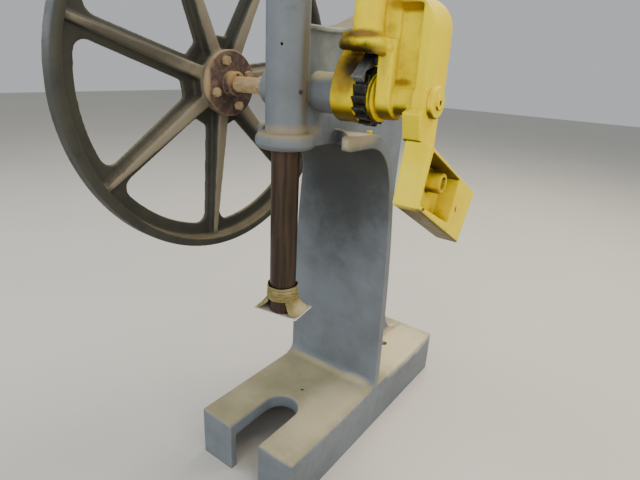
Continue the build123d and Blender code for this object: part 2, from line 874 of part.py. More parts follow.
def flank_turn(radius):
    """Half of a pinion tooth's angle at a radius, in radians."""
    half_tooth = pi / (2 * pinion_teeth) - tooth_backlash / (4 * pitch_radius)
    return half_tooth + involute(radians(pressure_angle)) - involute(acos(base_circle_radius / radius))


def flank_point(radius, side):
    """A point of a pinion tooth's flank; the tooth points along local +X."""
    return polar(radius, side * degrees(flank_turn(radius)))


# One pinion tooth with involute flanks, along local +X
with BuildSketch() as pinion_tooth:
    mid_radius = (base_circle_radius + pinion_tip_radius) / 2
    lower = [flank_point(radius, -1) for radius in (base_circle_radius, mid_radius, pinion_tip_radius)]
    upper = [flank_point(radius, 1) for radius in (base_circle_radius, mid_radius, pinion_tip_radius)]
    foot_angle = degrees(flank_turn(base_circle_radius))
    lower_foot = polar(pinion_root_radius - cut_margin, -foot_angle)
    upper_foot = polar(pinion_root_radius - cut_margin, foot_angle)
    with BuildLine():
        Line(lower_foot, lower[0])
        Spline(*lower)
        ThreePointArc(lower[2], (pinion_tip_radius, 0), upper[2])
        Spline(*upper)
        Line(upper[0], upper_foot)
        Line(upper_foot, lower_foot)
    make_face()

# Pinion, turned so that a tooth gap faces the rack
with BuildPart() as pinion:
    with BuildSketch(on_shaft(-pinion_half)):
        Circle(pinion_root_radius)
        with PolarLocations(0, pinion_teeth, start_angle=180 - 180 / pinion_teeth):
            add(pinion_tooth.sketch)
    extrude(amount=pinion_width)
    extrude(keyed_bore(-pinion_half), amount=pinion_width, mode=Mode.SUBTRACT)
save(pinion, "pinion")

# Collar that keeps the shaft from sliding, with its set screw
with BuildPart() as shaft_collar:
    with BuildSketch(on_shaft(collar_end_x)):
        Circle(shaft_collar_radius)
    extrude(amount=-shaft_collar_width)
    chamfer(shaft_collar.edges().filter_by(GeomType.CIRCLE), length=shaft_collar_edge)
    with BuildSketch(on_shaft(collar_end_x)):
        Circle(seat_radius)
    extrude(amount=-shaft_collar_width, mode=Mode.SUBTRACT)
    with BuildSketch(outward_from_shaft(hub_screw_angle, collar_end_x - shaft_collar_width / 2)):
        Circle(shaft_collar_screw_radius + seat_clearance)
    extrude(amount=shaft_collar_radius + cut_margin, mode=Mode.SUBTRACT)
save(shaft_collar, "shaft_collar")

with BuildPart() as shaft_collar_screw:
    collar_middle_x = collar_end_x - shaft_collar_width / 2
    with BuildSketch(outward_from_shaft(hub_screw_angle, collar_middle_x).offset(seat_radius)):
        Circle(shaft_collar_screw_radius)
    extrude(amount=shaft_collar_radius - seat_radius - set_screw_sink / 2)
save(shaft_collar_screw, "shaft_collar_screw")

# Hub flange keyed on the shaft; the handwheel is bolted to its face
with BuildPart() as hub_flange:
    with BuildSketch(on_shaft(hub_face_x)):
        Circle(hub_flange_radius)
    extrude(amount=hub_flange_thickness)
    with BuildSketch(on_shaft(hub_flange_front_x)):
        Circle(hub_boss_radius)
    extrude(amount=hub_boss_length)
    chamfer(hub_flange.edges().filter_by(GeomType.CIRCLE).group_by(Axis.X)[-1], length=hub_edge)
    chamfer(hub_flange.edges().filter_by(GeomType.CIRCLE).group_by(SortBy.RADIUS)[-1], length=hub_edge)
    extrude(keyed_bore(hub_face_x), amount=hub_boss_end_x - hub_face_x, mode=Mode.SUBTRACT)
    with BuildSketch(on_shaft(hub_face_x)):
        with PolarLocations(hub_bolt_circle, hub_bolt_count, start_angle=hub_bolt_angle):
            Circle(hub_bolt_radius + seat_clearance)
    extrude(amount=hub_flange_thickness, mode=Mode.SUBTRACT)
    with BuildSketch(outward_from_shaft(hub_screw_angle, hub_flange_front_x + hub_screw_set_in)):
        Circle(set_screw_radius + seat_clearance)
    extrude(amount=hub_boss_radius + cut_margin, mode=Mode.SUBTRACT)
save(hub_flange, "hub_flange")

with BuildPart() as hub_set_screw:
    hub_screw_x = hub_flange_front_x + hub_screw_set_in
    with BuildSketch(outward_from_shaft(hub_screw_angle, hub_screw_x).offset(seat_radius)):
        Circle(set_screw_radius)
    extrude(amount=hub_boss_radius - seat_radius - set_screw_sink)
save(hub_set_screw, "hub_set_screw")

with BuildPart() as hub_bolts:
    with BuildSketch(on_shaft(hub_flange_front_x)):
        with PolarLocations(hub_bolt_circle, hub_bolt_count, start_angle=hub_bolt_angle):
            RegularPolygon(hub_bolt_head, 6)
    extrude(amount=hub_bolt_head_height)
    with BuildSketch(on_shaft(hub_flange_front_x)):
        with PolarLocations(hub_bolt_circle, hub_bolt_count, start_angle=hub_bolt_angle):
            Circle(hub_bolt_radius)
    extrude(amount=-hub_bolt_length)
save(hub_bolts, "hub_bolts")

# One rib of the handwheel, lying along local +X and standing on the spoke
with BuildPart() as spoke_rib:
    with BuildSketch(Plane.YZ.offset(wheel_hub_radius - wheel_hub_edge)):
        with Locations((0, rib_height_hub / 2)):
            Rectangle(rib_width_hub, rib_height_hub)
    with BuildSketch(Plane.YZ.offset(band_inner_radius + wheel_band_thickness / 2)):
        with Locations((0, rib_height_rim / 2)):
            Rectangle(rib_width_rim, rib_height_rim)
    loft()
    rib_top = spoke_rib.faces().sort_by(Axis.Z)[-1]
    fillet(rib_top.edges().sort_by(SortBy.LENGTH)[-2:], radius=rib_edge)

# One opening between two spokes, in the plane of the wheel
with BuildSketch() as wheel_opening:
    spoke_pitch = 360 / spoke_count
    hub_half = degrees(spoke_width_hub / 2 / spoke_hub_radius)
    rim_half = degrees(spoke_width_rim / 2 / wheel_web_inner_radius)
    hub_corner = polar(spoke_hub_radius, hub_half)
    hub_far_corner = polar(spoke_hub_radius, spoke_pitch - hub_half)
    rim_corner = polar(wheel_web_inner_radius, rim_half)
    rim_far_corner = polar(wheel_web_inner_radius, spoke_pitch - rim_half)
    with BuildLine():
        Line(hub_corner, rim_corner)
        ThreePointArc(rim_corner, polar(wheel_web_inner_radius, spoke_pitch / 2), rim_far_corner)
        Line(rim_far_corner, hub_far_corner)
        ThreePointArc(hub_far_corner, polar(spoke_hub_radius, spoke_pitch / 2), hub_corner)
    make_face()
    fillet(wheel_opening.vertices().group_by(SortBy.DISTANCE)[-1], radius=spoke_rim_corner)
    fillet(wheel_opening.vertices().group_by(SortBy.DISTANCE)[0], radius=spoke_hub_corner)

# Handwheel: band, web, hub and ribbed spokes, cast in one
with BuildPart(on_shaft(wheel_web_x)) as handwheel:
    profile_plane = Plane(origin=(0, pinion_y, pinion_z), x_dir=(1, 0, 0), z_dir=(0, -1, 0))
    with BuildSketch(profile_plane) as band_profile:
        with BuildLine():
            Polyline((wheel_back_x, 0), (wheel_web_x, 0), (wheel_web_x, band_inner_radius - wheel_fillet))
            RadiusArc(
                (wheel_web_x, band_inner_radius - wheel_fillet),
                (wheel_web_x + wheel_fillet, band_inner_radius),
                wheel_fillet,
            )
            Polyline(
                (wheel_web_x + wheel_fillet, band_inner_radius),
                (wheel_front_x, band_inner_radius),
                (wheel_front_x, wheel_radius),
                (wheel_back_x, wheel_radius),
                (wheel_back_x, 0),
            )
        make_face()
        fillet(band_profile.vertices().group_by(Axis.X)[-1], radius=wheel_bead_radius)
        fillet(band_profile.vertices().group_by(Axis.X)[0].sort_by(Axis.Y)[-1], radius=wheel_bead_radius)
    revolve(axis=shaft_axis)
    with PolarLocations(0, spoke_count, start_angle=spoke_first_angle):
        add(spoke_rib.part)
    with BuildSketch(on_shaft(wheel_back_x)):
        Circle(wheel_hub_radius)
    extrude(amount=hub_face_x - wheel_back_x)
    chamfer(handwheel.edges().filter_by(GeomType.CIRCLE).group_by(Axis.X)[-1], length=wheel_hub_edge)
    with BuildSketch(on_shaft(wheel_back_x)):
        with PolarLocations(0, spoke_count, start_angle=spoke_first_angle):
            add(wheel_opening.sketch)
    extrude(amount=wheel_web_thickness, mode=Mode.SUBTRACT)
    with BuildSketch(on_shaft(wheel_back_x)):
        Circle(seat_radius)
    extrude(amount=hub_face_x - wheel_back_x, mode=Mode.SUBTRACT)
    with BuildSketch(on_shaft(hub_face_x)):
        with PolarLocations(hub_bolt_circle, hub_bolt_count, start_angle=hub_bolt_angle):
            Circle(hub_bolt_radius + seat_clearance)
    extrude(amount=hub_flange_thickness - hub_bolt_length - axial_gap, mode=Mode.SUBTRACT)
save(handwheel, "handwheel")

# One gap of the ratchet wheel, behind a steep tooth face on local +X
with BuildSketch() as ratchet_gap:
    with BuildLine():
        Polyline(
            polar(ratchet_radius - ratchet_depth, 0),
            polar(ratchet_radius + cut_margin, 0),
            polar(ratchet_radius + cut_margin, ratchet_land_angle - ratchet_pitch),
            polar(ratchet_radius, ratchet_land_angle - ratchet_pitch),
            polar(ratchet_radius - ratchet_depth, -ratchet_root_angle),
            close=True,
        )
    make_face()

# Ratchet wheel: the steep faces take the pawl, the long slopes let it slide back
with BuildPart() as ratchet_wheel:
    with BuildSketch(on_shaft(ratchet_x)):
        Circle(ratchet_radius)
        with PolarLocations(0, ratchet_teeth, start_angle=ratchet_contact_angle):
            add(ratchet_gap.sketch, mode=Mode.SUBTRACT)
    extrude(amount=ratchet_width)
    extrude(keyed_bore(ratchet_x), amount=ratchet_width, mode=Mode.SUBTRACT)
save(ratchet_wheel, "ratchet_wheel")

with BuildPart() as spacer_disc:
    with BuildSketch(on_shaft(spacer_x)):
        Circle(spacer_radius)
        Circle(seat_radius, mode=Mode.SUBTRACT)
    extrude(amount=spacer_thickness)
save(spacer_disc, "spacer_disc")

with BuildPart() as end_washer:
    with BuildSketch(on_shaft(end_washer_x)):
        Circle(end_washer_radius)
    extrude(amount=end_washer_thickness)
    chamfer(end_washer.edges().group_by(Axis.X)[-1], length=end_washer_edge)
    with BuildSketch(on_shaft(end_washer_x)):
        Circle(end_screw_radius + seat_clearance)
    extrude(amount=end_washer_thickness, mode=Mode.SUBTRACT)
save(end_washer, "end_washer")

with BuildPart() as end_screw:
    with BuildSketch(on_shaft(end_washer_x + end_washer_thickness)):
        Circle(end_screw_head_radius)
    extrude(amount=end_screw_head_height)
    with BuildSketch(on_shaft(end_washer_x + end_washer_thickness)):
        Circle(end_screw_radius)
    extrude(amount=axial_gap - end_screw_length)
    with BuildSketch(on_shaft(end_washer_x + end_washer_thickness + end_screw_head_height)):
        RegularPolygon(end_screw_socket, 6)
    extrude(amount=-2 * end_screw_head_height, mode=Mode.SUBTRACT)
save(end_screw, "end_screw")

# Where the counterweight's screws stand: on the ceiling of its hollow and square to it
hollow_slope = slope_of(hollow_front_top, hollow_rear_top)
bolt_plane = Plane(
    origin=((hollow_x + arm_outer_x) / 2, *along_slope(hollow_front_top, hollow_slope, weight_bolt_along)),
    x_dir=(1, 0, 0),
    z_dir=(0, *polar(1, hollow_slope + 90)),
).offset(-axial_gap)

# Front lip of the yoke, drooping toward its ends and rounded all along its front
lip_bottom_z = lip_top_z - lip_thickness
with BuildPart() as yoke_lip:
    with BuildSketch(level(pinion_z)):
        add(lip_outline(0))
    extrude(amount=yoke_rise)
    with BuildSketch(front_view(lip_front - cut_margin)):
        add(lip_band(lip_bottom_z, lip_top_z))
    extrude(amount=lip_front - yoke_rear - 2 * cut_margin, mode=Mode.INTERSECT)
    level_edges = [edge for edge in yoke_lip.edges() if abs((edge % 0.5).Z) < 0.6]
    fillet([edge for edge in level_edges if edge.center().Y < yoke_rear - cut_margin], radius=lip_edge)

# Sloping shoulder between the lip and the handle's socket
shoulder_y_start = lip_front + lip_edge
with BuildPart() as lip_shoulder:
    with BuildSketch(front_view(shoulder_y_start)):
        add(lip_band(lip_bottom_z + lip_edge, lip_top_z - cut_margin))
    with BuildSketch(front_view(shoulder_y_start + lip_shoulder_run)):
        add(lip_band(lip_bottom_z + lip_edge, lip_top_z + lip_shoulder_rise))
    loft()
    with BuildSketch(front_view(shoulder_y_start + lip_shoulder_run)):
        add(lip_band(lip_bottom_z + lip_edge, lip_top_z + lip_shoulder_rise))
    extrude(amount=shoulder_y_start + lip_shoulder_run - yoke_rear)
    with BuildSketch(level(pinion_z)):
        add(lip_outline(lip_shoulder_inset))
    extrude(amount=yoke_rise, mode=Mode.INTERSECT)

# Panel, arm and top of the yoke in one block with a rounded outer shoulder
with BuildPart() as yoke_block:
    with BuildSketch(front_view(arm_front)) as block_front_view:
        with BuildLine():
            Polyline(
                (yoke_left_x, window_top_z),
                (panel_x, window_top_z),
                (panel_x, pinion_z),
                (arm_outer_x, pinion_z),
                (arm_outer_x, yoke_top_z),
                (yoke_left_x, yoke_top_z),
                close=True,
            )
        make_face()
        top_corners = block_front_view.vertices().group_by(Axis.Y)[-1].sort_by(Axis.X)
        fillet(top_corners[-1], radius=yoke_shoulder_radius)
        fillet(top_corners[0], radius=yoke_left_radius)
    extrude(amount=arm_front - yoke_rear)
    fillet(yoke_block.faces().sort_by(Axis.Y)[0].edges(), radius=yoke_edge)
    with BuildSketch(front_view(arm_front)):
        with Locations(((yoke_left_x + panel_x) / 2, yoke_top_z)):
            Rectangle(panel_x - yoke_left_x, 2 * (yoke_top_z - lip_top_z))
    extrude(amount=arm_front - yoke_front, mode=Mode.SUBTRACT)
    # Recess over the panel, with a round cove as its ceiling
    with BuildSketch(front_view(arm_front)):
        with Locations(((panel_x + arm_inner_x) / 2, cove_z / 2)):
            Rectangle(arm_inner_x - panel_x, cove_z)
    extrude(amount=arm_front - pocket_floor, mode=Mode.SUBTRACT)
    with BuildSketch(side_view(panel_x)):
        with Locations((arm_front, cove_z)):
            Circle(cove_radius)
    extrude(amount=arm_inner_x - panel_x, mode=Mode.SUBTRACT)

# Lever yoke: two cheeks, lip, panel, outer arm, neck and handle socket, cast in one
cheek_tangent_point = around_shaft(left_cheek_radius, left_cheek_tangent)
with BuildPart() as lever_yoke:
    with BuildSketch(side_view(left_cheek_x)):
        with Locations((pinion_y, pinion_z)):
            Circle(left_cheek_radius)
        with BuildLine():
            Spline(
                cheek_tangent_point,
                from_shaft((-left_cheek_waist_forward, left_cheek_waist_rise)),
                from_shaft((-left_cheek_top_forward, window_rise)),
            )
            Polyline(
                from_shaft((-left_cheek_top_forward, window_rise)),
                from_shaft((-left_cheek_top_forward, window_rise + cheek_lap)),
                (yoke_rear, window_top_z + cheek_lap),
                (yoke_rear, pinion_z),
                (pinion_y, pinion_z),
                cheek_tangent_point,
            )
        make_face()
    extrude(amount=left_cheek_width)
    with BuildSketch(side_view(right_cheek_x)):
        with Locations((pinion_y, pinion_z)):
            Circle(right_cheek_radius)
        with Locations((pinion_y + (yoke_back - right_cheek_forward) / 2, (pinion_z + window_top_z) / 2)):
            Rectangle(yoke_back + right_cheek_forward, window_rise)
    extrude(amount=right_cheek_width)
    add(yoke_lip.part)
    add(lip_shoulder.part)
    add(yoke_block.part)
    # Hub of the arm, sleeve between arm and cheek, neck for the counterweight
    with BuildSketch(on_shaft(arm_inner_x)):
        Circle(arm_hub_radius)
    extrude(amount=arm_width)
    with BuildSketch(on_shaft(right_cheek_x)):
        Circle(sleeve_radius)
    extrude(amount=arm_inner_x - right_cheek_x)
    with BuildSketch(side_view(arm_outer_x)):
        with BuildLine():
            Polyline(
                (pinion_y, pinion_z),
                from_shaft((-neck_forward, -neck_drop)),
                from_shaft(weight_front_top),
                along_slope(weight_front_top, slope_of(weight_front_top, weight_rear_top), neck_reach),
                from_shaft((neck_back, 0)),
                close=True,
            )
        make_face()
    extrude(amount=-neck_width)
    # Socket for the handle
    with BuildSketch(level(window_top_z)):
        with Locations((socket_x, socket_y)):
            Circle(socket_radius)
    extrude(amount=socket_top_z - window_top_z)
    chamfer(lever_yoke.faces().sort_by(Axis.Z)[-1].edges(), length=socket_edge)
    with BuildSketch(level(handle_bottom_z)):
        with Locations((socket_x, socket_y)):
            Circle(handle_radius + seat_clearance)
    extrude(amount=handle_depth, mode=Mode.SUBTRACT)
    with BuildSketch(Plane(origin=(socket_x, socket_y, handle_screw_z), x_dir=(1, 0, 0), z_dir=(0, -1, 0))):
        Circle(handle_screw_radius + seat_clearance)
    extrude(amount=socket_radius + cut_margin, mode=Mode.SUBTRACT)
    # Bores for the shaft, the bushes and the pawl pin
    with BuildSketch(on_shaft(left_cheek_x - cut_margin)):
        Circle(lever_bush_radius + seat_clearance)
    extrude(amount=arm_outer_x - left_cheek_x + 2 * cut_margin, mode=Mode.SUBTRACT)
    with BuildSketch(side_view(left_cheek_x - cut_margin)):
        with Locations((pawl_pin_y, pawl_pin_z)):
            Circle(pawl_pin_radius + seat_clearance)
    extrude(amount=panel_x - left_cheek_x + cut_margin - pawl_pin_inset, mode=Mode.SUBTRACT)
    with BuildSketch(bolt_plane):
        with GridLocations(0, weight_bolt_spacing, 1, 2):
            Circle(weight_bolt_radius + seat_clearance)
    extrude(amount=weight_bolt_reach + axial_gap, mode=Mode.SUBTRACT)
save(lever_yoke, "lever_yoke")

for label, start_x, length in (
    ("lever_bush_left", left_cheek_x, left_cheek_width),
    ("lever_bush_right", right_cheek_x, arm_outer_x - right_cheek_x),
):
    with BuildPart() as lever_bush:
        with BuildSketch(on_shaft(start_x)):
            Circle(lever_bush_radius)
            Circle(run_radius, mode=Mode.SUBTRACT)
        extrude(amount=length)
    save(lever_bush, label)

with BuildPart() as pawl_pin:
    with BuildSketch(side_view(left_cheek_x + pawl_pin_inset)):
        with Locations((pawl_pin_y, pawl_pin_z)):
            Circle(pawl_pin_radius)
    extrude(amount=panel_x - left_cheek_x - 2 * pawl_pin_inset - axial_gap)
save(pawl_pin, "pawl_pin")

# Pawl: its shape is drawn with the nose in a tooth, then swung clear about its pin
pawl_axis = Axis((0, pawl_pin_y, pawl_pin_z), (1, 0, 0))
pawl_eye_x, pawl_eye_z = polar(pawl_eye_radius, pawl_arm_angle)
with BuildPart() as pawl_in_tooth:
    with BuildSketch(side_view(ratchet_x + (ratchet_width - pawl_width) / 2)):
        with Locations((pawl_pin_y, pawl_pin_z)):
            Circle(pawl_eye_radius)
        with BuildLine():
            contact_angle = ratchet_contact_angle - pawl_nose_lag
            Polyline(
                around_shaft(pawl_nose_radius, contact_angle),
                around_shaft(pawl_front_radius, contact_angle),
                (pawl_pin_y + pawl_eye_x, pawl_pin_z + pawl_eye_z),
                (pawl_pin_y - pawl_eye_x, pawl_pin_z - pawl_eye_z),
                around_shaft(pawl_heel_radius, contact_angle - pawl_heel_lag),
                close=True,
            )
        make_face()
    extrude(amount=pawl_width)
    with BuildSketch(side_view(window_x + axial_gap)):
        with Locations((pawl_pin_y, pawl_pin_z)):
            Circle(pawl_eye_radius)
    extrude(amount=right_cheek_x - window_x - 2 * axial_gap)
    with BuildSketch(side_view(window_x)):
        with Locations((pawl_pin_y, pawl_pin_z)):
            Circle(pawl_pin_radius + running_clearance)
    extrude(amount=right_cheek_x - window_x, mode=Mode.SUBTRACT)
with BuildPart() as pawl:
    add(pawl_in_tooth.part.rotate(pawl_axis, -pawl_lift_angle))
save(pawl, "pawl")

# Handle bar in its socket, with the screw that clamps it
with BuildPart() as handle_bar:
    with BuildSketch(level(handle_bottom_z)):
        with Locations((socket_x, socket_y)):
            Circle(handle_radius)
    extrude(amount=handle_length)
    fillet(handle_bar.edges().group_by(Axis.Z)[-1], radius=handle_end)
save(handle_bar, "handle_bar")

screw_plane = Plane(origin=(socket_x, socket_y, handle_screw_z), x_dir=(1, 0, 0), z_dir=(0, -1, 0))
with BuildPart() as handle_screw:
    with BuildSketch(screw_plane.offset(handle_radius + seat_clearance)):
        Circle(handle_screw_radius)
    extrude(amount=socket_radius - handle_radius)
    with BuildSketch(screw_plane.offset(socket_radius)):
        RegularPolygon(handle_screw_head, 6)
    extrude(amount=handle_screw_head_height)
save(handle_screw, "handle_screw")

# Counterweight: a block at its rear, hollow toward the outer side, with a round stub in the hollow
weight_corners = (weight_front_top, weight_rear_top, weight_rear_bottom, weight_front_bottom)
hollow_corners = (hollow_front_top, hollow_rear_top, hollow_rear_bottom, hollow_front_bottom)
stub_centre = from_shaft((weight_stub_back, -weight_stub_drop))
with BuildPart() as counterweight:
    with BuildSketch(side_view(weight_left_x)):
        with BuildLine():
            Polyline(*[from_shaft(corner) for corner in weight_corners], close=True)
        make_face()
    extrude(amount=weight_width)
    chamfer(counterweight.faces().sort_by(Axis.X)[-1].edges(), length=weight_edge)
    with BuildSketch(side_view(hollow_x)):
        with BuildLine():
            Polyline(*[from_shaft(corner) for corner in hollow_corners], close=True)
        make_face()
    extrude(amount=weight_width, mode=Mode.SUBTRACT)
    with BuildSketch(side_view(hollow_x)):
        with Locations(stub_centre):
            Circle(weight_stub_radius)
    extrude(amount=weight_stub_length)
    chamfer(counterweight.edges().filter_by(GeomType.CIRCLE).group_by(Axis.X)[-1], length=weight_edge)
    with BuildSketch(side_view(hollow_x + weight_stub_length)):
        with Locations(stub_centre):
            Circle(weight_stub_hole)
    extrude(amount=-weight_stub_depth, mode=Mode.SUBTRACT)
    with BuildSketch(bolt_plane):
        with GridLocations(0, weight_bolt_spacing, 1, 2):
            Circle(weight_bolt_radius + seat_clearance)
    extrude(amount=weight_bolt_reach + axial_gap, mode=Mode.SUBTRACT)
save(counterweight, "counterweight")

# Two screws from the hollow up into the neck
with BuildPart() as weight_bolts:
    with BuildSketch(bolt_plane):
        with GridLocations(0, weight_bolt_spacing, 1, 2):
            Circle(weight_bolt_head)
    extrude(amount=-weight_bolt_head_height)
    with BuildSketch(bolt_plane):
        with GridLocations(0, weight_bolt_spacing, 1, 2):
            Circle(weight_bolt_radius)
    extrude(amount=weight_bolt_reach)
save(weight_bolts, "weight_bolts")
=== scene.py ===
import bmesh
import bpy
import json
import numpy as np
from mathutils import Matrix, Vector


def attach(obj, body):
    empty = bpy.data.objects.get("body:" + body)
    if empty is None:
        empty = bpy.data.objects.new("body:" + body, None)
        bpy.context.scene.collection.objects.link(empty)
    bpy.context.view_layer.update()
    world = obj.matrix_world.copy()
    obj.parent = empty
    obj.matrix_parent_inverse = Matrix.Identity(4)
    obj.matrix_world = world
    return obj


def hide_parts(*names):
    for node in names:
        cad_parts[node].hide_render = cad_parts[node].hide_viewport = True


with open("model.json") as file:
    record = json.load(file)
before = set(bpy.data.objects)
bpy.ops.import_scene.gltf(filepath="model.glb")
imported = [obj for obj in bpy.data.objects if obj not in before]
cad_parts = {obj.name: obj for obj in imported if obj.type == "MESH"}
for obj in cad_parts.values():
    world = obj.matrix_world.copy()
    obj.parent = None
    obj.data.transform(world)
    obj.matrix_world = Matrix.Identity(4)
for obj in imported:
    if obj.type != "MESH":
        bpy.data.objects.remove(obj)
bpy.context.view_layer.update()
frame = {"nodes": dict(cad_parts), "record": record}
nodes = frame["nodes"]
print("frame loaded:", len(nodes), "nodes")


def linear(hexColour):
    # sRGB hex to the linear numbers that the shader works in, with full alpha
    shares = [int(hexColour[start:start + 2], 16) / 255 for start in (1, 3, 5)]
    bent = [share / 12.92 if share < 0.04045 else ((share + 0.055) / 1.055) ** 2.4 for share in shares]
    return (*bent, 1.0)


def addNode(tree, kind, links=None, **settings):
    # one node with its settings; a link is a socket to join or a plain value
    node = tree.nodes.new("ShaderNode" + kind)
    for name, value in settings.items():
        setattr(node, name, value)
    for name, source in (links or {}).items():
        if isinstance(source, bpy.types.NodeSocket):
            tree.links.new(source, node.inputs[name])
        else:
            node.inputs[name].default_value = source
    return node


def perMetre(mm):
    # noise scale that gives patches of this many millimetres
    return 1000.0 / mm


def newMaterial(name):
    # a material with its node tree and its shader
    material = bpy.data.materials.new(name)
    material.use_nodes = True
    tree = material.node_tree
    return material, tree, tree.nodes["Principled BSDF"]


def putInScene(name, data):
    # an object at the origin, unturned and unscaled
    made = bpy.data.objects.new(name, data)
    bpy.context.scene.collection.objects.link(made)
    return made


# Camera, worked out from the machine's own edges and circles
camera = {
    "place": (0.5152, -0.6057, 0.7760),
    "right": (0.8005, 0.5975, 0.0471),
    "back": (0.5463, -0.7598, 0.3525),
    "lensMm": 26.70,
    "sensorMm": 36.0,
    "nearest": 0.05,  # metres
}
camData = bpy.data.cameras.new("camera")
camData.lens = camera["lensMm"]
camData.sensor_width = camera["sensorMm"]
camData.clip_start = camera["nearest"]
camObject = putInScene("camera", camData)
back = Vector(camera["back"]).normalized()
right = Vector(camera["right"])
right = (right - right.dot(back) * back).normalized()
turned = Matrix((right, back.cross(right), back)).transposed().to_4x4()
camObject.matrix_world = Matrix.Translation(camera["place"]) @ turned
bpy.context.scene.camera = camObject

# Pale floor and soft light: a large window overhead and behind, weak fills from both sides and the front
studio = {
    "floorColour": "#c6c3bb",
    "floorPatch": "#bdbab2",
    "floorPatchMm": 500,
    "floorDetail": 3.0,
    "floorRough": 0.9,
    "floorHalf": 9,  # metres
    "sky": "#dfe3e6",
    "skyStrength": 0.66,
    "lights": {  # place, aim, width and height in metres, watts, colour
        "windowLight": ((0.4, 1.7, 3.0), (0, 0.15, 0.6), 2.6, 2.0, 132, "#fff3e0"),
        "sideLight": ((-2.2, -1.2, 1.9), (0, 0.1, 0.6), 1.8, 1.8, 42, "#dbe6f5"),
        "rightLight": ((2.4, -0.6, 1.5), (0, 0.1, 0.6), 1.8, 1.8, 32, "#fff8ee"),
        "frontLight": ((0.3, -2.5, 1.3), (0.05, 0.1, 0.62), 1.8, 1.6, 32, "#f6f6f4"),
    },
}
for name, (place, aim, wide, tall, watts, colour) in studio["lights"].items():
    lamp = bpy.data.lights.new(name, "AREA")
    lamp.shape = "RECTANGLE"
    lamp.size, lamp.size_y, lamp.energy = wide, tall, watts
    lamp.color = linear(colour)[:3]
    lampObject = putInScene(name, lamp)
    lampObject.location = place
    lampObject.rotation_euler = (Vector(aim) - Vector(place)).to_track_quat("-Z", "Y").to_euler()
world = bpy.data.worlds.new("studio")
bpy.context.scene.world = world
world.use_nodes = True
skyInputs = world.node_tree.nodes["Background"].inputs
skyInputs["Color"].default_value = linear(studio["sky"])
skyInputs["Strength"].default_value = studio["skyStrength"]
print("camera and lights set")

# Floor: plain matt screed
floorMaterial, floorTree, floorShader = newMaterial("mattScreed")
floorPlace = addNode(floorTree, "TexCoord")
floorCloud = addNode(floorTree, "TexNoise", {
    "Vector": floorPlace.outputs["Object"], "Scale": perMetre(studio["floorPatchMm"]),
    "Detail": studio["floorDetail"],
})
floorTint = addNode(floorTree, "MixRGB", {
    "Fac": floorCloud.outputs["Fac"],
    "Color1": linear(studio["floorColour"]), "Color2": linear(studio["floorPatch"]),
})
floorTree.links.new(floorTint.outputs["Color"], floorShader.inputs["Base Color"])
floorShader.inputs["Roughness"].default_value = studio["floorRough"]
half = studio["floorHalf"]
floorMesh = bpy.data.meshes.new("floor")
floorCorners = [(-half, -half, 0), (half, -half, 0), (half, half, 0), (-half, half, 0)]
floorMesh.from_pydata(floorCorners, [], [(0, 1, 2, 3)])
floorMesh.materials.append(floorMaterial)
floor = putInScene("floor", floorMesh)

# What the masks of all finishes share
maskRules = {
    "samples": 6,  # of the Bevel and Ambient Occlusion nodes
    "flat": 0.985,  # cosine between the rounded and the flat normal where an edge begins
    "sharp": 0.80,  # and where it is full
    "ragged": 0.6,  # how far the noise breaks a stain's border
    "stainBorder": 1.3,  # share of a stain's reach, noise included, where it begins
    "stainFull": 0.62,  # and where it is full
}


def surfaceParts(tree, roundMm):
    # object coordinates, the shading normal with the edges rounded over, its parts in the piece's
    # own space, and how much of an edge each point is
    where = addNode(tree, "TexCoord")
    facing = addNode(tree, "NewGeometry")
    rounded = addNode(tree, "Bevel", {"Radius": roundMm / 1000}, samples=maskRules["samples"])
    own = addNode(tree, "VectorTransform", {"Vector": rounded.outputs["Normal"]},
                  vector_type="NORMAL", convert_from="WORLD", convert_to="OBJECT")
    parts = addNode(tree, "SeparateXYZ", {"Vector": own.outputs["Vector"]})
    turn = addNode(tree, "VectorMath", {0: rounded.outputs["Normal"], 1: facing.outputs["True Normal"]},
                   operation="DOT_PRODUCT")
    edge = addNode(tree, "MapRange", {
        "Value": turn.outputs["Value"], "From Min": maskRules["flat"], "From Max": maskRules["sharp"],
    })
    return where.outputs["Object"], rounded.outputs["Normal"], parts.outputs, edge.outputs["Result"]


def layStainsAndPaintedLight(tree, place, cloud, colour, stainsAndPaintedLight):
    # each stain, painted shade or painted light is a soft ellipsoid in the machine's own space, its
    # border broken by the noise: distance from the centre over the reach, plus the noise, from none at the
    # border to full inside
    for centre, reach, tint, strength in stainsAndPaintedLight:
        off = addNode(tree, "VectorMath", {0: place, 1: centre}, operation="SUBTRACT")
        share = addNode(tree, "VectorMath", {0: off.outputs["Vector"], 1: reach}, operation="DIVIDE")
        far = addNode(tree, "VectorMath", {0: share.outputs["Vector"]}, operation="LENGTH")
        ragged = addNode(tree, "Math", {0: cloud, 1: maskRules["ragged"], 2: far.outputs["Value"]},
                         operation="MULTIPLY_ADD")
        mask = addNode(tree, "MapRange", {
            "Value": ragged.outputs["Value"], "From Min": maskRules["stainBorder"],
            "From Max": maskRules["stainFull"], "To Max": strength,
        }, interpolation_type="SMOOTHSTEP")
        mixed = addNode(tree, "MixRGB", {
            "Fac": mask.outputs["Result"], "Color1": colour, "Color2": linear(tint),
        })
        colour = mixed.outputs["Color"]
    return colour


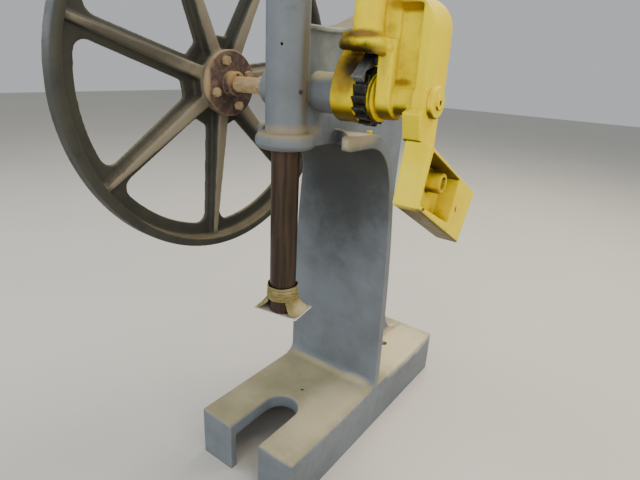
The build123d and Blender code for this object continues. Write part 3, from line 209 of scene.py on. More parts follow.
def dustCrowns(tree, place, cloud, colour, crown):
    # dust on the crowns of the wheel's ribs: height above the web over the rib's own height there,
    # which falls off in line from the hub to the band, and none past the band
    parts = addNode(tree, "SeparateXYZ", {"Vector": place})
    flat = addNode(tree, "CombineXYZ", {"Y": parts.outputs["Y"], "Z": parts.outputs["Z"]})
    away = addNode(tree, "VectorMath", {0: flat.outputs["Vector"], 1: (0, *crown["axis"])},
                   operation="DISTANCE")
    height = addNode(tree, "MapRange", {
        "Value": away.outputs["Value"], "From Min": crown["fromRadius"], "From Max": crown["toRadius"],
        "To Min": crown["fromHeight"], "To Max": crown["toHeight"],
    })
    proud = addNode(tree, "Math", {0: parts.outputs["X"], 1: crown["webX"]}, operation="SUBTRACT")
    share = addNode(tree, "Math", {0: proud.outputs["Value"], 1: height.outputs["Result"]},
                    operation="DIVIDE")
    broken = addNode(tree, "Math", {0: cloud, 1: crown["ragged"], 2: share.outputs["Value"]},
                     operation="MULTIPLY_ADD")
    onTop = addNode(tree, "MapRange", {
        "Value": broken.outputs["Value"], "From Min": crown["shareFrom"], "From Max": crown["shareTo"],
        "To Max": crown["strength"],
    }, interpolation_type="SMOOTHSTEP")
    inside = addNode(tree, "MapRange", {
        "Value": away.outputs["Value"],
        "From Min": crown["toRadius"], "From Max": crown["toRadius"] - crown["fadeOut"],
    })
    mask = addNode(tree, "Math", {0: onTop.outputs["Result"], 1: inside.outputs["Result"]},
                   operation="MULTIPLY")
    mixed = addNode(tree, "MixRGB", {
        "Fac": mask.outputs["Value"], "Color1": colour, "Color2": linear(crown["colour"]),
    })
    return mixed.outputs["Color"]


def shadeAndSootUnder(tree, place, cloud, facing, colour, look):
    # soot and painted shade lie like a stain, but not on faces turned to the left or right
    sootyShaded = layStainsAndPaintedLight(tree, place, cloud, colour, look["sootAndShade"])
    sideways = addNode(tree, "Math", {0: facing["X"]}, operation="ABSOLUTE")
    clean = addNode(tree, "MapRange", {
        "Value": sideways.outputs["Value"], "From Min": look["sideFrom"], "From Max": look["sideTo"],
    })
    mixed = addNode(tree, "MixRGB", {"Fac": clean.outputs["Result"], "Color1": sootyShaded, "Color2": colour})
    return mixed.outputs["Color"]


# What the three enamels share; each may set its own instead
enamelRules = {
    "patchDetail": 4.0, "patchRough": 0.6, "agedFrom": 0.36, "agedTo": 0.66,  # fresh and aged paint
    "smearDetail": 6.0, "smearRough": 0.7, "smearSoft": 0.16,
    "cornerFrom": 1.34, "cornerTo": 0.75,  # open sky over a point, plus the smears' noise
    "underFrom": -0.12, "underTo": -0.6,  # how far a face looks down
    "sideFrom": 0.45, "sideTo": 0.85,  # how far a face looks sideways
    "sheenFrom": 0.3, "sheenTo": 0.7, "roughMore": 0.14, "dustRough": 0.35,
    "peelDetail": 3.0, "peelShare": 0.35, "sandDetail": 5.0, "sandRough": 0.65, "bump": 0.8,
    "paintIor": 1.5,
}


def paintedCastIron(name, ownLook):
    # thick brushed enamel over sand-cast iron: low sheen, orange peel, edges worn soft with a painted
    # highlight, dust that lies on whatever faces up, brown dirt and painted shade in the corners, and
    # painted shade on the undersides
    look = {**enamelRules, **ownLook}
    material, tree, shader = newMaterial(name)
    place, rounded, facing, edge = surfaceParts(tree, look["roundMm"])

    # fresh and aged paint in patches, with thin smears of grime
    patch = addNode(tree, "TexNoise", {
        "Vector": place, "Scale": perMetre(look["patchMm"]),
        "Detail": look["patchDetail"], "Roughness": look["patchRough"],
    })
    aged = addNode(tree, "MapRange", {
        "Value": patch.outputs["Fac"], "From Min": look["agedFrom"], "From Max": look["agedTo"],
    })
    paint = addNode(tree, "MixRGB", {
        "Fac": aged.outputs["Result"], "Color1": linear(look["paint"]), "Color2": linear(look["paintAged"]),
    })
    smear = addNode(tree, "TexNoise", {
        "Vector": place, "Scale": perMetre(look["smearMm"]),
        "Detail": look["smearDetail"], "Roughness": look["smearRough"],
    })
    cloud = smear.outputs["Fac"]
    smearMask = addNode(tree, "MapRange", {
        "Value": cloud, "From Min": look["smearFrom"], "From Max": look["smearFrom"] + look["smearSoft"],
        "To Max": look["smear"],
    })
    smeared = addNode(tree, "MixRGB", {
        "Fac": smearMask.outputs["Result"], "Color1": paint.outputs["Color"], "Color2": linear(look["grimeAndShade"]),
    })

    # rubbed edges with a painted highlight, then dust on what faces up
    wornLitEdge = addNode(tree, "Math", {0: edge, 1: look["edge"]}, operation="MULTIPLY")
    edged = addNode(tree, "MixRGB", {
        "Fac": wornLitEdge.outputs["Value"], "Color1": smeared.outputs["Color"],
        "Color2": linear(look["edgeWearAndHighlight"]),
    })
    dustEdge = addNode(tree, "Math", {0: patch.outputs["Fac"], 1: look["dustBreak"], 2: facing["Z"]},
                       operation="MULTIPLY_ADD")
    dustMask = addNode(tree, "MapRange", {
        "Value": dustEdge.outputs["Value"], "From Min": look["dustFrom"],
        "From Max": look["dustFrom"] + look["dustSoft"], "To Max": look["dust"],
    }, interpolation_type="SMOOTHSTEP")
    dustTint = addNode(tree, "MixRGB", {
        "Fac": aged.outputs["Result"], "Color1": linear(look["dustColour"]),
        "Color2": linear(look["dustPale"]),
    })
    dusted = addNode(tree, "MixRGB", {
        "Fac": dustMask.outputs["Result"], "Color1": edged.outputs["Color"],
        "Color2": dustTint.outputs["Color"],
    })
    colour = dusted.outputs["Color"]
    if "crown" in look:
        colour = dustCrowns(tree, place, cloud, colour, look["crown"])

    # grime and painted shade in the corners, old oil and painted shade on the undersides, soot and painted
    # shade under the arch, and single stains, among them painted shade and painted light
    corner = addNode(tree, "AmbientOcclusion", {"Distance": look["cornerMm"] / 1000},
                     samples=maskRules["samples"], only_local=True)
    cornerEdge = addNode(tree, "Math", {0: corner.outputs["AO"], 1: cloud}, operation="ADD")
    cornerShadeMask = addNode(tree, "MapRange", {
        "Value": cornerEdge.outputs["Value"], "From Min": look["cornerFrom"], "From Max": look["cornerTo"],
        "To Max": look["corner"],
    })
    grimedShaded = addNode(tree, "MixRGB", {
        "Fac": cornerShadeMask.outputs["Result"], "Color1": colour, "Color2": linear(look["grimeAndShade"]),
    })
    # painted shade on faces that look down, with old oil
    underMask = addNode(tree, "MapRange", {
        "Value": facing["Z"], "From Min": look["underFrom"], "From Max": look["underTo"],
        "To Max": look["under"],
    }, interpolation_type="SMOOTHSTEP")
    oiledShaded = addNode(tree, "MixRGB", {
        "Fac": underMask.outputs["Result"], "Color1": grimedShaded.outputs["Color"],
        "Color2": linear(look["underColour"]),
    })
    colour = oiledShaded.outputs["Color"]
    if "sootAndShade" in look:
        colour = shadeAndSootUnder(tree, place, cloud, facing, colour, look)
    colour = layStainsAndPaintedLight(tree, place, cloud, colour, look["stainsAndPaintedLight"])

    # sheen that varies with the smears, duller under dust, and the relief of brushed paint on sand casting
    sheen = addNode(tree, "MapRange", {
        "Value": cloud, "From Min": look["sheenFrom"], "From Max": look["sheenTo"],
        "To Min": look["rough"], "To Max": look["rough"] + look["roughMore"],
    })
    dulled = addNode(tree, "Math", {
        0: dustMask.outputs["Result"], 1: look["dustRough"], 2: sheen.outputs["Result"],
    }, operation="MULTIPLY_ADD", use_clamp=True)
    peel = addNode(tree, "TexNoise", {
        "Vector": place, "Scale": perMetre(look["peelMm"]), "Detail": look["peelDetail"],
    })
    sand = addNode(tree, "TexNoise", {
        "Vector": place, "Scale": perMetre(look["sandMm"]),
        "Detail": look["sandDetail"], "Roughness": look["sandRough"],
    })
    relief = addNode(tree, "Math", {0: peel.outputs["Fac"], 1: look["peelShare"], 2: sand.outputs["Fac"]},
                     operation="MULTIPLY_ADD")
    bump = addNode(tree, "Bump", {
        "Height": relief.outputs["Value"], "Distance": look["reliefMm"] / 1000, "Strength": look["bump"],
        "Normal": rounded,
    })
    tree.links.new(colour, shader.inputs["Base Color"])
    tree.links.new(dulled.outputs["Value"], shader.inputs["Roughness"])
    tree.links.new(bump.outputs["Normal"], shader.inputs["Normal"])
    shader.inputs["IOR"].default_value = look["paintIor"]
    shader.inputs["Specular IOR Level"].default_value = look["gloss"]
    return material


# In each finish the stains, the soot and the painted shade and light among them are centre and reach in
# metres, colour, strength

# brushed oil-based enamel on the frame: dull blue-grey, gone tan with dust where it faces up
frameEnamel = paintedCastIron("blueGreyMachineEnamel", {
    "paint": "#6f777e", "paintAged": "#62686d", "grimeAndShade": "#403e36",
    "dustColour": "#8f8767", "dustPale": "#a39a79",
    "dust": 0.95, "dustFrom": 0.66, "dustSoft": 0.34, "dustBreak": 0.28,
    "patchMm": 85, "smearMm": 34, "smearFrom": 0.56, "smear": 0.2, "cornerMm": 22, "corner": 0.45,
    "gloss": 0.35, "rough": 0.46, "peelMm": 9, "sandMm": 22, "reliefMm": 0.5, "roundMm": 4.5,
    "edge": 0.7, "edgeWearAndHighlight": "#98948a", "under": 0.5, "underColour": "#4b4b46",
    "sootAndShade": [((0.0, 0.17, 0.620), (0.20, 0.16, 0.33), "#2b2b28", 0.78)],  # oil, soot and painted shade under the arch
    "stainsAndPaintedLight": [
        ((0.0335, 0.004, 0.760), (0.010, 0.016, 0.150), "#5b5541", 0.90),  # darker olive strip down the barrel's joint
        ((0.080, 0.360, 0.108), (0.120, 0.170, 0.030), "#d4c8a6", 0.85),  # pale dust and painted light on the rear pad
        ((0.075, 0.060, 0.107), (0.070, 0.220, 0.020), "#bfb493", 0.70),  # and thinner in front
        ((0.032, 0.075, 0.760), (0.006, 0.060, 0.140), "#aab3b6", 0.90),  # lighter paint beside the barrel: painted light where the yoke's shadow falls
        ((-0.055, 0.047, 0.738), (0.024, 0.050, 0.050), "#94805a", 0.85),  # rusty dust on the left boss
        ((0.0, 0.0, 0.640), (0.050, 0.050, 0.014), "#57503e", 0.60),  # oil round the ram
        ((0.0, 0.0, 0.666), (0.082, 0.082, 0.019), "#96886e", 0.85),  # tan dust on the ring
        ((0.095, 0.060, 0.662), (0.045, 0.085, 0.025), "#a99d82", 0.90),  # and on the arch beside it
    ],
})
# old black paint on the wheel: almost matt, dusty on the ribs' crowns and on what faces up
wheelEnamel = paintedCastIron("oldBlackWheelPaint", {
    "paint": "#34352f", "paintAged": "#3e3d34", "grimeAndShade": "#1f1e1a",
    "dustColour": "#746a53", "dustPale": "#877c61",
    "dust": 0.6, "dustFrom": 0.62, "dustSoft": 0.45, "dustBreak": 0.3,
    "patchMm": 60, "smearMm": 24, "smearFrom": 0.54, "smear": 0.35, "cornerMm": 16, "corner": 0.6,
    "gloss": 0.3, "rough": 0.48, "peelMm": 7, "sandMm": 16, "reliefMm": 0.4, "roundMm": 4,
    "edge": 0.6, "edgeWearAndHighlight": "#66645a", "under": 0.4, "underColour": "#262620",
    "crown": {
        "axis": (0.047, 0.7286), "webX": -0.213, "fromRadius": 0.058, "toRadius": 0.302,
        "fromHeight": 0.022, "toHeight": 0.0105, "fadeOut": 0.012,
        "ragged": 0.35, "shareFrom": 0.90, "shareTo": 1.12, "strength": 0.74, "colour": "#8e8570",
    },
    "stainsAndPaintedLight": [
        ((-0.200, -0.120, 0.800), (0.040, 0.170, 0.085), "#3a382f", 0.85),  # darker on the upper left
        ((-0.200, 0.047, 0.7286), (0.040, 0.095, 0.095), "#33312a", 0.60),  # and dark with oil round the hub
    ],
})
# thick yellow enamel on the lever and its weight: strong colour, low sheen, brown where oil ran, and
# painted shade under the lip, in the hollows and on the undersides
yellowEnamel = paintedCastIron("thickYellowEnamel", {
    "paint": "#f0da00", "paintAged": "#eacb00", "grimeAndShade": "#7a5a12",
    "dustColour": "#dcc684", "dustPale": "#e6d494",
    "dust": 0.35, "dustFrom": 0.86, "dustSoft": 0.4, "dustBreak": 0.3,
    "patchMm": 55, "smearMm": 20, "smearFrom": 0.60, "smear": 0.35, "cornerMm": 24, "corner": 0.9,
    "gloss": 0.10, "rough": 0.3, "peelMm": 6, "sandMm": 14, "reliefMm": 0.5, "roundMm": 3,
    "edge": 0.3, "edgeWearAndHighlight": "#ffe540", "under": 0.95, "underColour": "#3c2e06",
    "stainsAndPaintedLight": [
        ((0.140, -0.002, 0.8145), (0.060, 0.030, 0.0085), "#7d5c2b", 0.95),  # oil-soaked dust behind the lip
        ((0.138, -0.008, 0.794), (0.050, 0.040, 0.013), "#2e2110", 0.90),  # painted shade under the lip
        ((0.098, 0.010, 0.770), (0.048, 0.055, 0.070), "#836427", 0.85),  # brown film and painted shade on the left cheek
        ((0.110, 0.006, 0.782), (0.033, 0.050, 0.046), "#261b10", 0.97),  # black grease and painted shade beside the pawl
        ((0.1455, 0.000, 0.752), (0.0045, 0.060, 0.060), "#3a2b10", 0.95),  # and along the right cheek's edge
        ((0.100, 0.014, 0.744), (0.016, 0.024, 0.016), "#8f6d1e", 0.55),  # lower end of the brown film
        ((0.186, -0.002, 0.801), (0.014, 0.020, 0.016), "#9a7418", 0.80),  # grime and painted shade in the yoke's hollows
        ((0.163, 0.002, 0.775), (0.012, 0.030, 0.034), "#a98a3c", 0.60),
        ((0.180, 0.036, 0.853), (0.045, 0.034, 0.012), "#a37f12", 0.90),
        ((0.184, 0.036, 0.753), (0.022, 0.014, 0.007), "#7c5f22", 0.80),
        ((0.170, 0.042, 0.700), (0.022, 0.022, 0.010), "#8a6a14", 0.70),
        ((0.246, 0.092, 0.590), (0.020, 0.040, 0.040), "#a58324", 0.60),  # and in the weight's
        ((0.248, 0.152, 0.553), (0.007, 0.005, 0.008), "#2c2418", 1.00),  # chips down to the iron
        ((0.246, 0.018, 0.582), (0.006, 0.012, 0.005), "#2c2418", 1.00),
        ((0.215, 0.000, 0.610), (0.050, 0.022, 0.075), "#f6e04c", 0.60),  # chalky, faded front of the weight, paler still with a painted sheen
    ],
})

# What the bare metals, the board and the tape share; each may set its own instead
bareRules = {
    "streakDetail": 5.0, "streakRough": 0.6, "streakFrom": 0.38, "streakTo": 0.62,
    "stainDetail": 5.0, "stainRough": 0.65, "stainSoft": 0.14,
    "upFrom": 0.25, "upTo": 0.95,  # how far a face looks up, for dust
    "cornerFrom": 0.85, "cornerTo": 0.35,  # open sky over a point
    "sheenFrom": 0.3, "sheenTo": 0.7, "roughMore": 0.2, "grainDetail": 2.0, "bump": 0.7,
    "gloss": 0.3, "stainsAndPaintedLight": [],
}


def bareFinish(name, ownLook):
    # unpainted and handled for years: fine marks along or round the piece, stains, dust on what faces
    # up, dirt and painted shade in the corners, and edges rubbed bare with a painted highlight
    look = {**bareRules, **ownLook}
    material, tree, shader = newMaterial(name)
    place, rounded, facing, edge = surfaceParts(tree, look["roundMm"])

    # marks drawn out along the piece, then stains
    along = addNode(tree, "Mapping", {"Vector": place, "Scale": look["stretch"]})
    streak = addNode(tree, "TexNoise", {
        "Vector": along.outputs["Vector"], "Scale": perMetre(look["streakMm"]),
        "Detail": look["streakDetail"], "Roughness": look["streakRough"],
    })
    stain = addNode(tree, "TexNoise", {
        "Vector": place, "Scale": perMetre(look["stainMm"]),
        "Detail": look["stainDetail"], "Roughness": look["stainRough"],
    })
    cloud = stain.outputs["Fac"]
    streakMask = addNode(tree, "MapRange", {
        "Value": streak.outputs["Fac"], "From Min": look["streakFrom"], "From Max": look["streakTo"],
    })
    metal = addNode(tree, "MixRGB", {
        "Fac": streakMask.outputs["Result"], "Color1": linear(look["metal"]),
        "Color2": linear(look["streakColour"]),
    })
    stainMask = addNode(tree, "MapRange", {
        "Value": cloud, "From Min": look["stainFrom"], "From Max": look["stainFrom"] + look["stainSoft"],
        "To Max": look["stain"],
    })
    stained = addNode(tree, "MixRGB", {
        "Fac": stainMask.outputs["Result"], "Color1": metal.outputs["Color"],
        "Color2": linear(look["stainColour"]),
    })

    # dust on what faces up, rubbed edges with a painted highlight, dirt and painted shade in the corners
    dustMask = addNode(tree, "MapRange", {
        "Value": facing["Z"], "From Min": look["upFrom"], "From Max": look["upTo"], "To Max": look["dust"],
    }, interpolation_type="SMOOTHSTEP")
    dusted = addNode(tree, "MixRGB", {
        "Fac": dustMask.outputs["Result"], "Color1": stained.outputs["Color"],
        "Color2": linear(look["dustColour"]),
    })
    wornLitEdge = addNode(tree, "Math", {0: edge, 1: look["edge"]}, operation="MULTIPLY")
    edged = addNode(tree, "MixRGB", {
        "Fac": wornLitEdge.outputs["Value"], "Color1": dusted.outputs["Color"],
        "Color2": linear(look["edgeWearAndHighlight"]),
    })
    # dirt and painted shade where the corners close in
    corner = addNode(tree, "AmbientOcclusion", {"Distance": look["cornerMm"] / 1000},
                     samples=maskRules["samples"], only_local=True)
    cornerShadeMask = addNode(tree, "MapRange", {
        "Value": corner.outputs["AO"], "From Min": look["cornerFrom"], "From Max": look["cornerTo"],
        "To Max": look["corner"],
    })
    dirtyShaded = addNode(tree, "MixRGB", {
        "Fac": cornerShadeMask.outputs["Result"], "Color1": edged.outputs["Color"], "Color2": linear(look["dirtAndShade"]),
    })
    colour = layStainsAndPaintedLight(tree, place, cloud, dirtyShaded.outputs["Color"], look["stainsAndPaintedLight"])

    # sheen that varies with the stains, and the fine marks' own relief
    sheen = addNode(tree, "MapRange", {
        "Value": cloud, "From Min": look["sheenFrom"], "From Max": look["sheenTo"],
        "To Min": look["rough"], "To Max": look["rough"] + look["roughMore"],
    })
    grain = addNode(tree, "TexNoise", {
        "Vector": along.outputs["Vector"], "Scale": perMetre(look["grainMm"]), "Detail": look["grainDetail"],
    })
    bump = addNode(tree, "Bump", {
        "Height": grain.outputs["Fac"], "Distance": look["reliefMm"] / 1000, "Strength": look["bump"],
        "Normal": rounded,
    })
    tree.links.new(colour, shader.inputs["Base Color"])
    tree.links.new(sheen.outputs["Result"], shader.inputs["Roughness"])
    tree.links.new(bump.outputs["Normal"], shader.inputs["Normal"])
    shader.inputs["Metallic"].default_value = look["metallic"]
    shader.inputs["Specular IOR Level"].default_value = look["gloss"]
    return material


# drawn bar, brown with old oil: dark, with soft streaks down its length
oiledRamSteel = bareFinish("oiledBrownSteel", {
    "metal": "#43372c", "streakColour": "#32271f", "stainColour": "#563526", "stainFrom": 0.54, "stain": 0.55,
    "dirtAndShade": "#1d1813", "corner": 0.4, "cornerMm": 12, "stretch": (1, 1, 0.05), "streakMm": 7, "stainMm": 40,
    "grainMm": 3, "reliefMm": 0.12, "rough": 0.32, "metallic": 0.4, "roundMm": 1.5,
    "edge": 0.4, "edgeWearAndHighlight": "#7a6a55", "dust": 0.4, "dustColour": "#8a7a5c",
})
# turned shaft under a dry tan film: hardly any metal left to see
tarnishedShaft = bareFinish("tarnishedShaftSteel", {
    "metal": "#b8a07a", "streakColour": "#9d8966", "stainColour": "#6d4f30", "stainFrom": 0.54, "stain": 0.6,
    "dirtAndShade": "#3a2d20", "corner": 0.4, "cornerMm": 8, "stretch": (0.3, 1, 1), "streakMm": 6, "stainMm": 18,
    "grainMm": 2, "reliefMm": 0.12, "rough": 0.45, "metallic": 0.15, "roundMm": 1.5,
    "edge": 0.6, "edgeWearAndHighlight": "#c9b48c", "dust": 0.6, "dustColour": "#b79c70",
})
# bare casting, purple-brown with rust: rough and matt, tan on its rubbed rim
rustyIron = bareFinish("rustyCastIron", {
    "metal": "#63524a", "streakColour": "#4f403c", "stainColour": "#85705a", "stainFrom": 0.50, "stain": 0.6,
    "dirtAndShade": "#2a1f1a", "corner": 0.45, "cornerMm": 8, "stretch": (1, 1, 1), "streakMm": 12, "stainMm": 14,
    "grainMm": 3, "reliefMm": 0.35, "rough": 0.6, "metallic": 0.0, "roundMm": 3.5,
    "edge": 0.9, "edgeWearAndHighlight": "#b89a70", "dust": 0.7, "dustColour": "#b0966c",
    "stainsAndPaintedLight": [
        ((-0.182, -0.012, 0.735), (0.014, 0.012, 0.062), "#b09772", 0.90),  # tan dust on the disc's rim
        ((-0.162, 0.043, 0.742), (0.014, 0.030, 0.022), "#b5935f", 0.85),  # and on top of its boss
        ((-0.170, 0.070, 0.690), (0.030, 0.060, 0.035), "#3b2c2c", 0.60),  # darker behind, low down
    ],
})
# cut steel buried in black grease: wet and lumpy, bare only on the teeth's edges, with a painted highlight
# there
blackGrease = bareFinish("greasedGearSteel", {
    "metal": "#1f1d1a", "streakColour": "#2e2b27", "stainColour": "#100f0d", "stainFrom": 0.5, "stain": 0.7,
    "dirtAndShade": "#080706", "corner": 0.6, "cornerMm": 6, "stretch": (1, 1, 1), "streakMm": 7, "stainMm": 9,
    "grainMm": 4, "reliefMm": 0.6, "rough": 0.2, "metallic": 0.3, "roundMm": 1.2,
    "edge": 0.8, "edgeWearAndHighlight": "#6f6f69", "dust": 0.2, "dustColour": "#6a6454",
})
# forged steel worn bare at its nose: mid grey, black with grease and painted shade at its pin
barePawlSteel = bareFinish("barePawlSteel", {
    "metal": "#74777c", "streakColour": "#5c5f63", "stainColour": "#33302d", "stainFrom": 0.52, "stain": 0.7,
    "dirtAndShade": "#2a2724", "corner": 0.4, "cornerMm": 6, "stretch": (1, 1, 1), "streakMm": 8, "stainMm": 12,
    "grainMm": 2, "reliefMm": 0.15, "rough": 0.36, "metallic": 0.35, "roundMm": 1.5,
    "edge": 0.6, "edgeWearAndHighlight": "#a9abad", "dust": 0.2, "dustColour": "#8a8068",
    "stainsAndPaintedLight": [((0.133, 0.020, 0.792), (0.040, 0.040, 0.026), "#14100c", 0.95)],  # grease from the pin, and painted shade under the lip
})
# heat-blackened screws: near black, brown where the finish has gone
darkScrewSteel = bareFinish("blackenedScrewSteel", {
    "metal": "#453f38", "streakColour": "#38332e", "stainColour": "#62482f", "stainFrom": 0.55, "stain": 0.5,
    "dirtAndShade": "#14110e", "corner": 0.6, "cornerMm": 4, "stretch": (1, 1, 1), "streakMm": 4, "stainMm": 7,
    "grainMm": 1.5, "reliefMm": 0.1, "rough": 0.42, "metallic": 0.4, "roundMm": 0.8,
    "edge": 0.6, "edgeWearAndHighlight": "#8a806c", "dust": 0.5, "dustColour": "#8a7a5c",
})
# ground bright steel of keys, pin and washer: fine marks along it
keySteel = bareFinish("groundKeySteel", {
    "metal": "#8d8d8b", "streakColour": "#77756f", "stainColour": "#4a3b2c", "stainFrom": 0.58, "stain": 0.4,
    "dirtAndShade": "#1e1b17", "corner": 0.5, "cornerMm": 4, "stretch": (0.2, 1, 1), "streakMm": 3, "stainMm": 10,
    "grainMm": 1, "reliefMm": 0.06, "rough": 0.3, "metallic": 1.0, "roundMm": 0.5,
    "edge": 0.4, "edgeWearAndHighlight": "#b5b5b2", "dust": 0.2, "dustColour": "#8a8068",
})
# bored bearing bronze in dark oil
oiledBronze = bareFinish("oiledBearingBronze", {
    "metal": "#8f6a35", "streakColour": "#77562b", "stainColour": "#3c2b18", "stainFrom": 0.52, "stain": 0.6,
    "dirtAndShade": "#1e160d", "corner": 0.6, "cornerMm": 5, "stretch": (0.3, 1, 1), "streakMm": 4, "stainMm": 9,
    "grainMm": 1.5, "reliefMm": 0.08, "rough": 0.34, "metallic": 1.0, "roundMm": 0.8,
    "edge": 0.4, "edgeWearAndHighlight": "#b58a4c", "dust": 0.2, "dustColour": "#7a6a4c",
})
# drawn bar polished dull by hands
handSteel = bareFinish("handWornBarSteel", {
    "metal": "#8a857b", "streakColour": "#77716a", "stainColour": "#5a442f", "stainFrom": 0.55, "stain": 0.55,
    "dirtAndShade": "#231d17", "corner": 0.4, "cornerMm": 8, "stretch": (1, 1, 0.15), "streakMm": 8, "stainMm": 30,
    "grainMm": 2, "reliefMm": 0.1, "rough": 0.33, "metallic": 0.7, "roundMm": 1,
    "edge": 0.4, "edgeWearAndHighlight": "#a8a49a", "dust": 0.3, "dustColour": "#8a8068",
})
# off-white faced board: matt, grubby, pale on its cut edges
paintedPlate = bareFinish("offWhiteBoard", {
    "metal": "#e9e4d8", "streakColour": "#dcd4c6", "stainColour": "#a99a86", "stainFrom": 0.58, "stain": 0.4,
    "dirtAndShade": "#8a7a68", "corner": 0.3, "cornerMm": 5, "stretch": (1, 1, 1), "streakMm": 14, "stainMm": 11,
    "grainMm": 2, "reliefMm": 0.1, "rough": 0.7, "metallic": 0.0, "roundMm": 0.8,
    "edge": 0.5, "edgeWearAndHighlight": "#f4f0e6", "dust": 0.7, "dustColour": "#a3948a",
})
# woven cloth tape: matt khaki, its threads drawn as coarse as they show
khakiTape = bareFinish("khakiClothTape", {
    "metal": "#857a4a", "streakColour": "#6f6536", "stainColour": "#a39370", "stainFrom": 0.50, "stain": 0.6,
    "dirtAndShade": "#4e4529", "corner": 0.8, "cornerMm": 5, "stretch": (1, 1, 3), "streakMm": 9, "stainMm": 16,
    "grainMm": 1.6, "reliefMm": 0.25, "rough": 0.7, "metallic": 0.0, "roundMm": 0.5,
    "edge": 0.0, "edgeWearAndHighlight": "#b5ab78", "dust": 0.2, "dustColour": "#b3a878",
    "stainsAndPaintedLight": [((0.040, 0.020, 0.347), (0.022, 0.040, 0.020), "#bdb08c", 0.85)],  # faded on the right
})
print("materials mixed")

finishes = {
    "frame_paint": frameEnamel, "wheel_paint": wheelEnamel, "yellow_paint": yellowEnamel,
    "yellow_screw": yellowEnamel, "ram_steel": oiledRamSteel, "shaft_steel": tarnishedShaft,
    "rusty_iron": rustyIron, "greased_steel": blackGrease, "pawl_steel": barePawlSteel,
    "dark_screw": darkScrewSteel, "key_steel": keySteel, "bronze": oiledBronze,
    "handle_steel": handSteel, "tape": khakiTape, "plate": paintedPlate,
}
# the yellow brush went over two sets of heads, and the hub's bolts are as tan as the shaft
headFinishes = {"end_screw": yellowEnamel, "weight_bolts": yellowEnamel, "hub_bolts": tarnishedShaft}
slotOf = {part["node"]: part["material_slot"] for part in frame["record"]["subparts"]}
for name, node in nodes.items():
    for meshSlot in node.material_slots:
        meshSlot.material = headFinishes.get(name, finishes[slotOf[name]])
print("finishes laid on", len(slotOf), "nodes")

# Sand castings under thick paint have no sharp edges: each is its own shape remeshed on a fine
# grid and relaxed, so edges, fillets and rib crowns run into each other
castings = {
    "mergeWithin": 1e-5,  # metres
    "relaxBy": 0.5,
    "pieces": {  # body, slot, finish, grid in mm, rounds of relaxing
        "handwheel": ("spindle", "wheel_paint", wheelEnamel, 2.6, 8),
        "lever_yoke": ("lever", "yellow_paint", yellowEnamel, 1.7, 7),
        "counterweight": ("lever", "yellow_paint", yellowEnamel, 1.6, 6),
    },
}
for nodeName, (body, slotName, finish, gridMm, rounds) in castings["pieces"].items():
    merged = bmesh.new()
    merged.from_mesh(nodes[nodeName].data)
    bmesh.ops.remove_doubles(merged, verts=merged.verts, dist=castings["mergeWithin"])
    softMesh = bpy.data.meshes.new(nodeName + "Cast")
    merged.to_mesh(softMesh)
    merged.free()
    softObject = putInScene(nodeName + "Cast", softMesh)
    grid = softObject.modifiers.new("grid", "REMESH")
    grid.mode, grid.voxel_size, grid.use_smooth_shade = "VOXEL", gridMm / 1000, True
    relax = softObject.modifiers.new("relax", "SMOOTH")
    relax.factor, relax.iterations = castings["relaxBy"], rounds
    evaluated = softObject.evaluated_get(bpy.context.evaluated_depsgraph_get())
    softObject.data = bpy.data.meshes.new_from_object(evaluated)
    softObject.modifiers.clear()
    softObject.data.materials.clear()
    softObject.data.materials.append(finish)
    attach(softObject, body)
    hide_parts(nodeName)
    print(nodeName, "cast,", len(softObject.data.polygons), "faces")

# Tape that holds the board under the ram: wound round the ram's end, then drawn out over the board's
# right, rear and left edges; the side toward the front left is open and shows the steel inside
tape = {
    "width": 0.060, "thicknessMm": 0.9,
    "boardCentre": (-0.0035, 0.0060), "boardTurn": 9.5, "boardHalf": (0.0443, 0.0304), "squareness": 5.0,
    "ramRadius": 0.0262, "top": 0.3885, "neck": 0.3660, "low": 0.3368,
    "neckTuck": 0.003, "skirtLap": 0.002, "skirtSlack": 0.0004,  # neck and skirt pass under each other
    "foldMm": 2.0, "foldSpacingMm": 6.0, "foldSway": 0.45, "foldLean": 0.6, "foldWaver": 0.16, "foldWaves": 3,
    "slantMid": 0.35, "slantReach": 0.32, "slantLean": 2.2, "slantWidth": 0.10, "slantSwell": 0.0011,
    "ripple": 0.0004, "rippleWaves": 7, "rippleRise": 9, "rimWave": 0.0006, "rimLean": 1,
    "spread": 1.45, "pullIn": 0.0028, "pleatMm": 1.3, "pleats": 9, "pleatSway": 2.4, "pleatTwist": 3,
    "openTop": (-118.0, -52.0), "openLow": (-141.0, -43.0), "openEase": 0.7,  # degrees round the ram
    "aroundSteps": 150, "neckSteps": 26, "skirtSteps": 34,
}


def tapeNeck(angle, rise):
    # a ring round the ram whose radius swells and dips: folds are a sine of the height that wanders
    # with the angle, one slanting fold crosses the front, and the top rim waves a little
    foot = tape["neck"] - tape["neckTuck"]
    height = foot + rise * (tape["top"] - foot)
    sway = tape["foldSway"] * np.sin(angle + tape["foldLean"])
    waver = tape["foldWaver"] * np.sin(tape["foldWaves"] * angle)
    fold = np.sin(2 * np.pi * (height * 1000 / tape["foldSpacingMm"] + sway + waver))
    slantLine = tape["slantMid"] + tape["slantReach"] * np.sin(angle + tape["slantLean"])
    slant = np.exp(-((rise - slantLine) / tape["slantWidth"]) ** 2)
    ripple = tape["ripple"] * np.sin(tape["rippleWaves"] * angle + tape["rippleRise"] * rise)
    swell = (0.5 + 0.5 * fold) * tape["foldMm"] / 1000 + tape["slantSwell"] * slant
    radius = tape["ramRadius"] + swell + ripple
    waved = height + tape["rimWave"] * np.sin(2 * angle + tape["rimLean"])
    return np.stack([radius * np.cos(angle), radius * np.sin(angle), waved], -1)


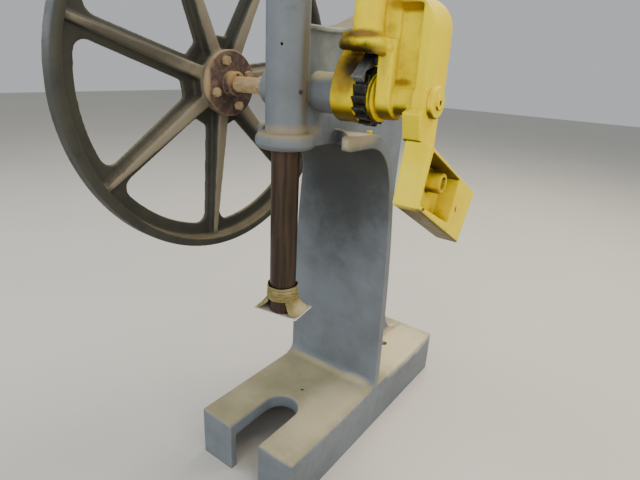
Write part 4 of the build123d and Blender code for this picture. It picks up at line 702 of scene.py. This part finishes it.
def tapeSkirt(angle, fall):
    # from the circle of the neck to the board's rounded outline: the two are mixed by a power of the
    # way down, and shallow pleats that die out at both ends run along it
    turn = np.radians(tape["boardTurn"])
    blend = fall ** tape["spread"]
    alongBoard = np.abs(np.cos(angle) / tape["boardHalf"][0]) ** tape["squareness"]
    acrossBoard = np.abs(np.sin(angle) / tape["boardHalf"][1]) ** tape["squareness"]
    outline = (alongBoard + acrossBoard) ** (-1 / tape["squareness"])
    middle = np.sin(np.pi * fall)
    pull = tape["pullIn"] * middle * (1 - np.abs(np.sin(2 * angle)))
    sway = tape["pleatSway"] * np.sin(2 * angle + tape["pleatTwist"] * fall)
    pleat = tape["pleatMm"] / 1000 * middle * np.sin(tape["pleats"] * angle + sway)
    radius = (1 - blend) * (tape["ramRadius"] + tape["skirtSlack"]) + blend * outline - pull + pleat
    boardX, boardY = radius * np.cos(angle), radius * np.sin(angle)
    placedX = blend * tape["boardCentre"][0] + boardX * np.cos(turn) - boardY * np.sin(turn)
    placedY = blend * tape["boardCentre"][1] + boardX * np.sin(turn) + boardY * np.cos(turn)
    head = tape["neck"] + tape["skirtLap"]
    return np.stack([placedX, placedY, head + (tape["low"] - head) * fall], -1)


def gridFaces(rows, columns, closed, first):
    # quads of a rows by columns grid whose rows may close on themselves
    across = columns if closed else columns - 1
    row, column = np.meshgrid(np.arange(rows - 1), np.arange(across), indexing="ij")
    start, after = row * columns, (column + 1) % columns
    corners = [start + column, start + after, start + columns + after, start + columns + column]
    return first + np.stack(corners, -1).reshape(-1, 4)


around, neckRows, skirtRows = tape["aroundSteps"], tape["neckSteps"], tape["skirtSteps"]
ringAngle = np.linspace(0, 2 * np.pi, around, endpoint=False)
neckRise, neckAngle = np.meshgrid(np.linspace(0, 1, neckRows), ringAngle, indexing="ij")
skirtFall, along = np.meshgrid(np.linspace(1, 0, skirtRows), np.linspace(0, 1, around), indexing="ij")
easeDown = skirtFall ** tape["openEase"]
startAngle = np.radians(tape["openTop"][1] + (tape["openLow"][1] - tape["openTop"][1]) * easeDown)
endAngle = np.radians(360 + tape["openTop"][0] + (tape["openLow"][0] - tape["openTop"][0]) * easeDown)
skirtAngle = startAngle + along * (endAngle - startAngle)
neckPoints, skirtPoints = tapeNeck(neckAngle, neckRise), tapeSkirt(skirtAngle, skirtFall)
tapePoints = np.concatenate([neckPoints.reshape(-1, 3), skirtPoints.reshape(-1, 3)])
neckFaces = gridFaces(neckRows, around, True, 0)
skirtFaces = gridFaces(skirtRows, around, False, neckRows * around)
tapeFaces = np.concatenate([neckFaces, skirtFaces])

tapeMesh = bpy.data.meshes.new("noseTapeWound")
tapeMesh.from_pydata(tapePoints.tolist(), [], tapeFaces.tolist())
tapeMesh.polygons.foreach_set("use_smooth", np.ones(len(tapeFaces), dtype=bool))
tapeMesh.materials.append(khakiTape)
tapeMesh.update()
tapeObject = putInScene("noseTapeWound", tapeMesh)
skin = tapeObject.modifiers.new("skin", "SOLIDIFY")
skin.thickness, skin.offset = tape["thicknessMm"] / 1000, 0
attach(tapeObject, "ram")
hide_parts("nose_tape")
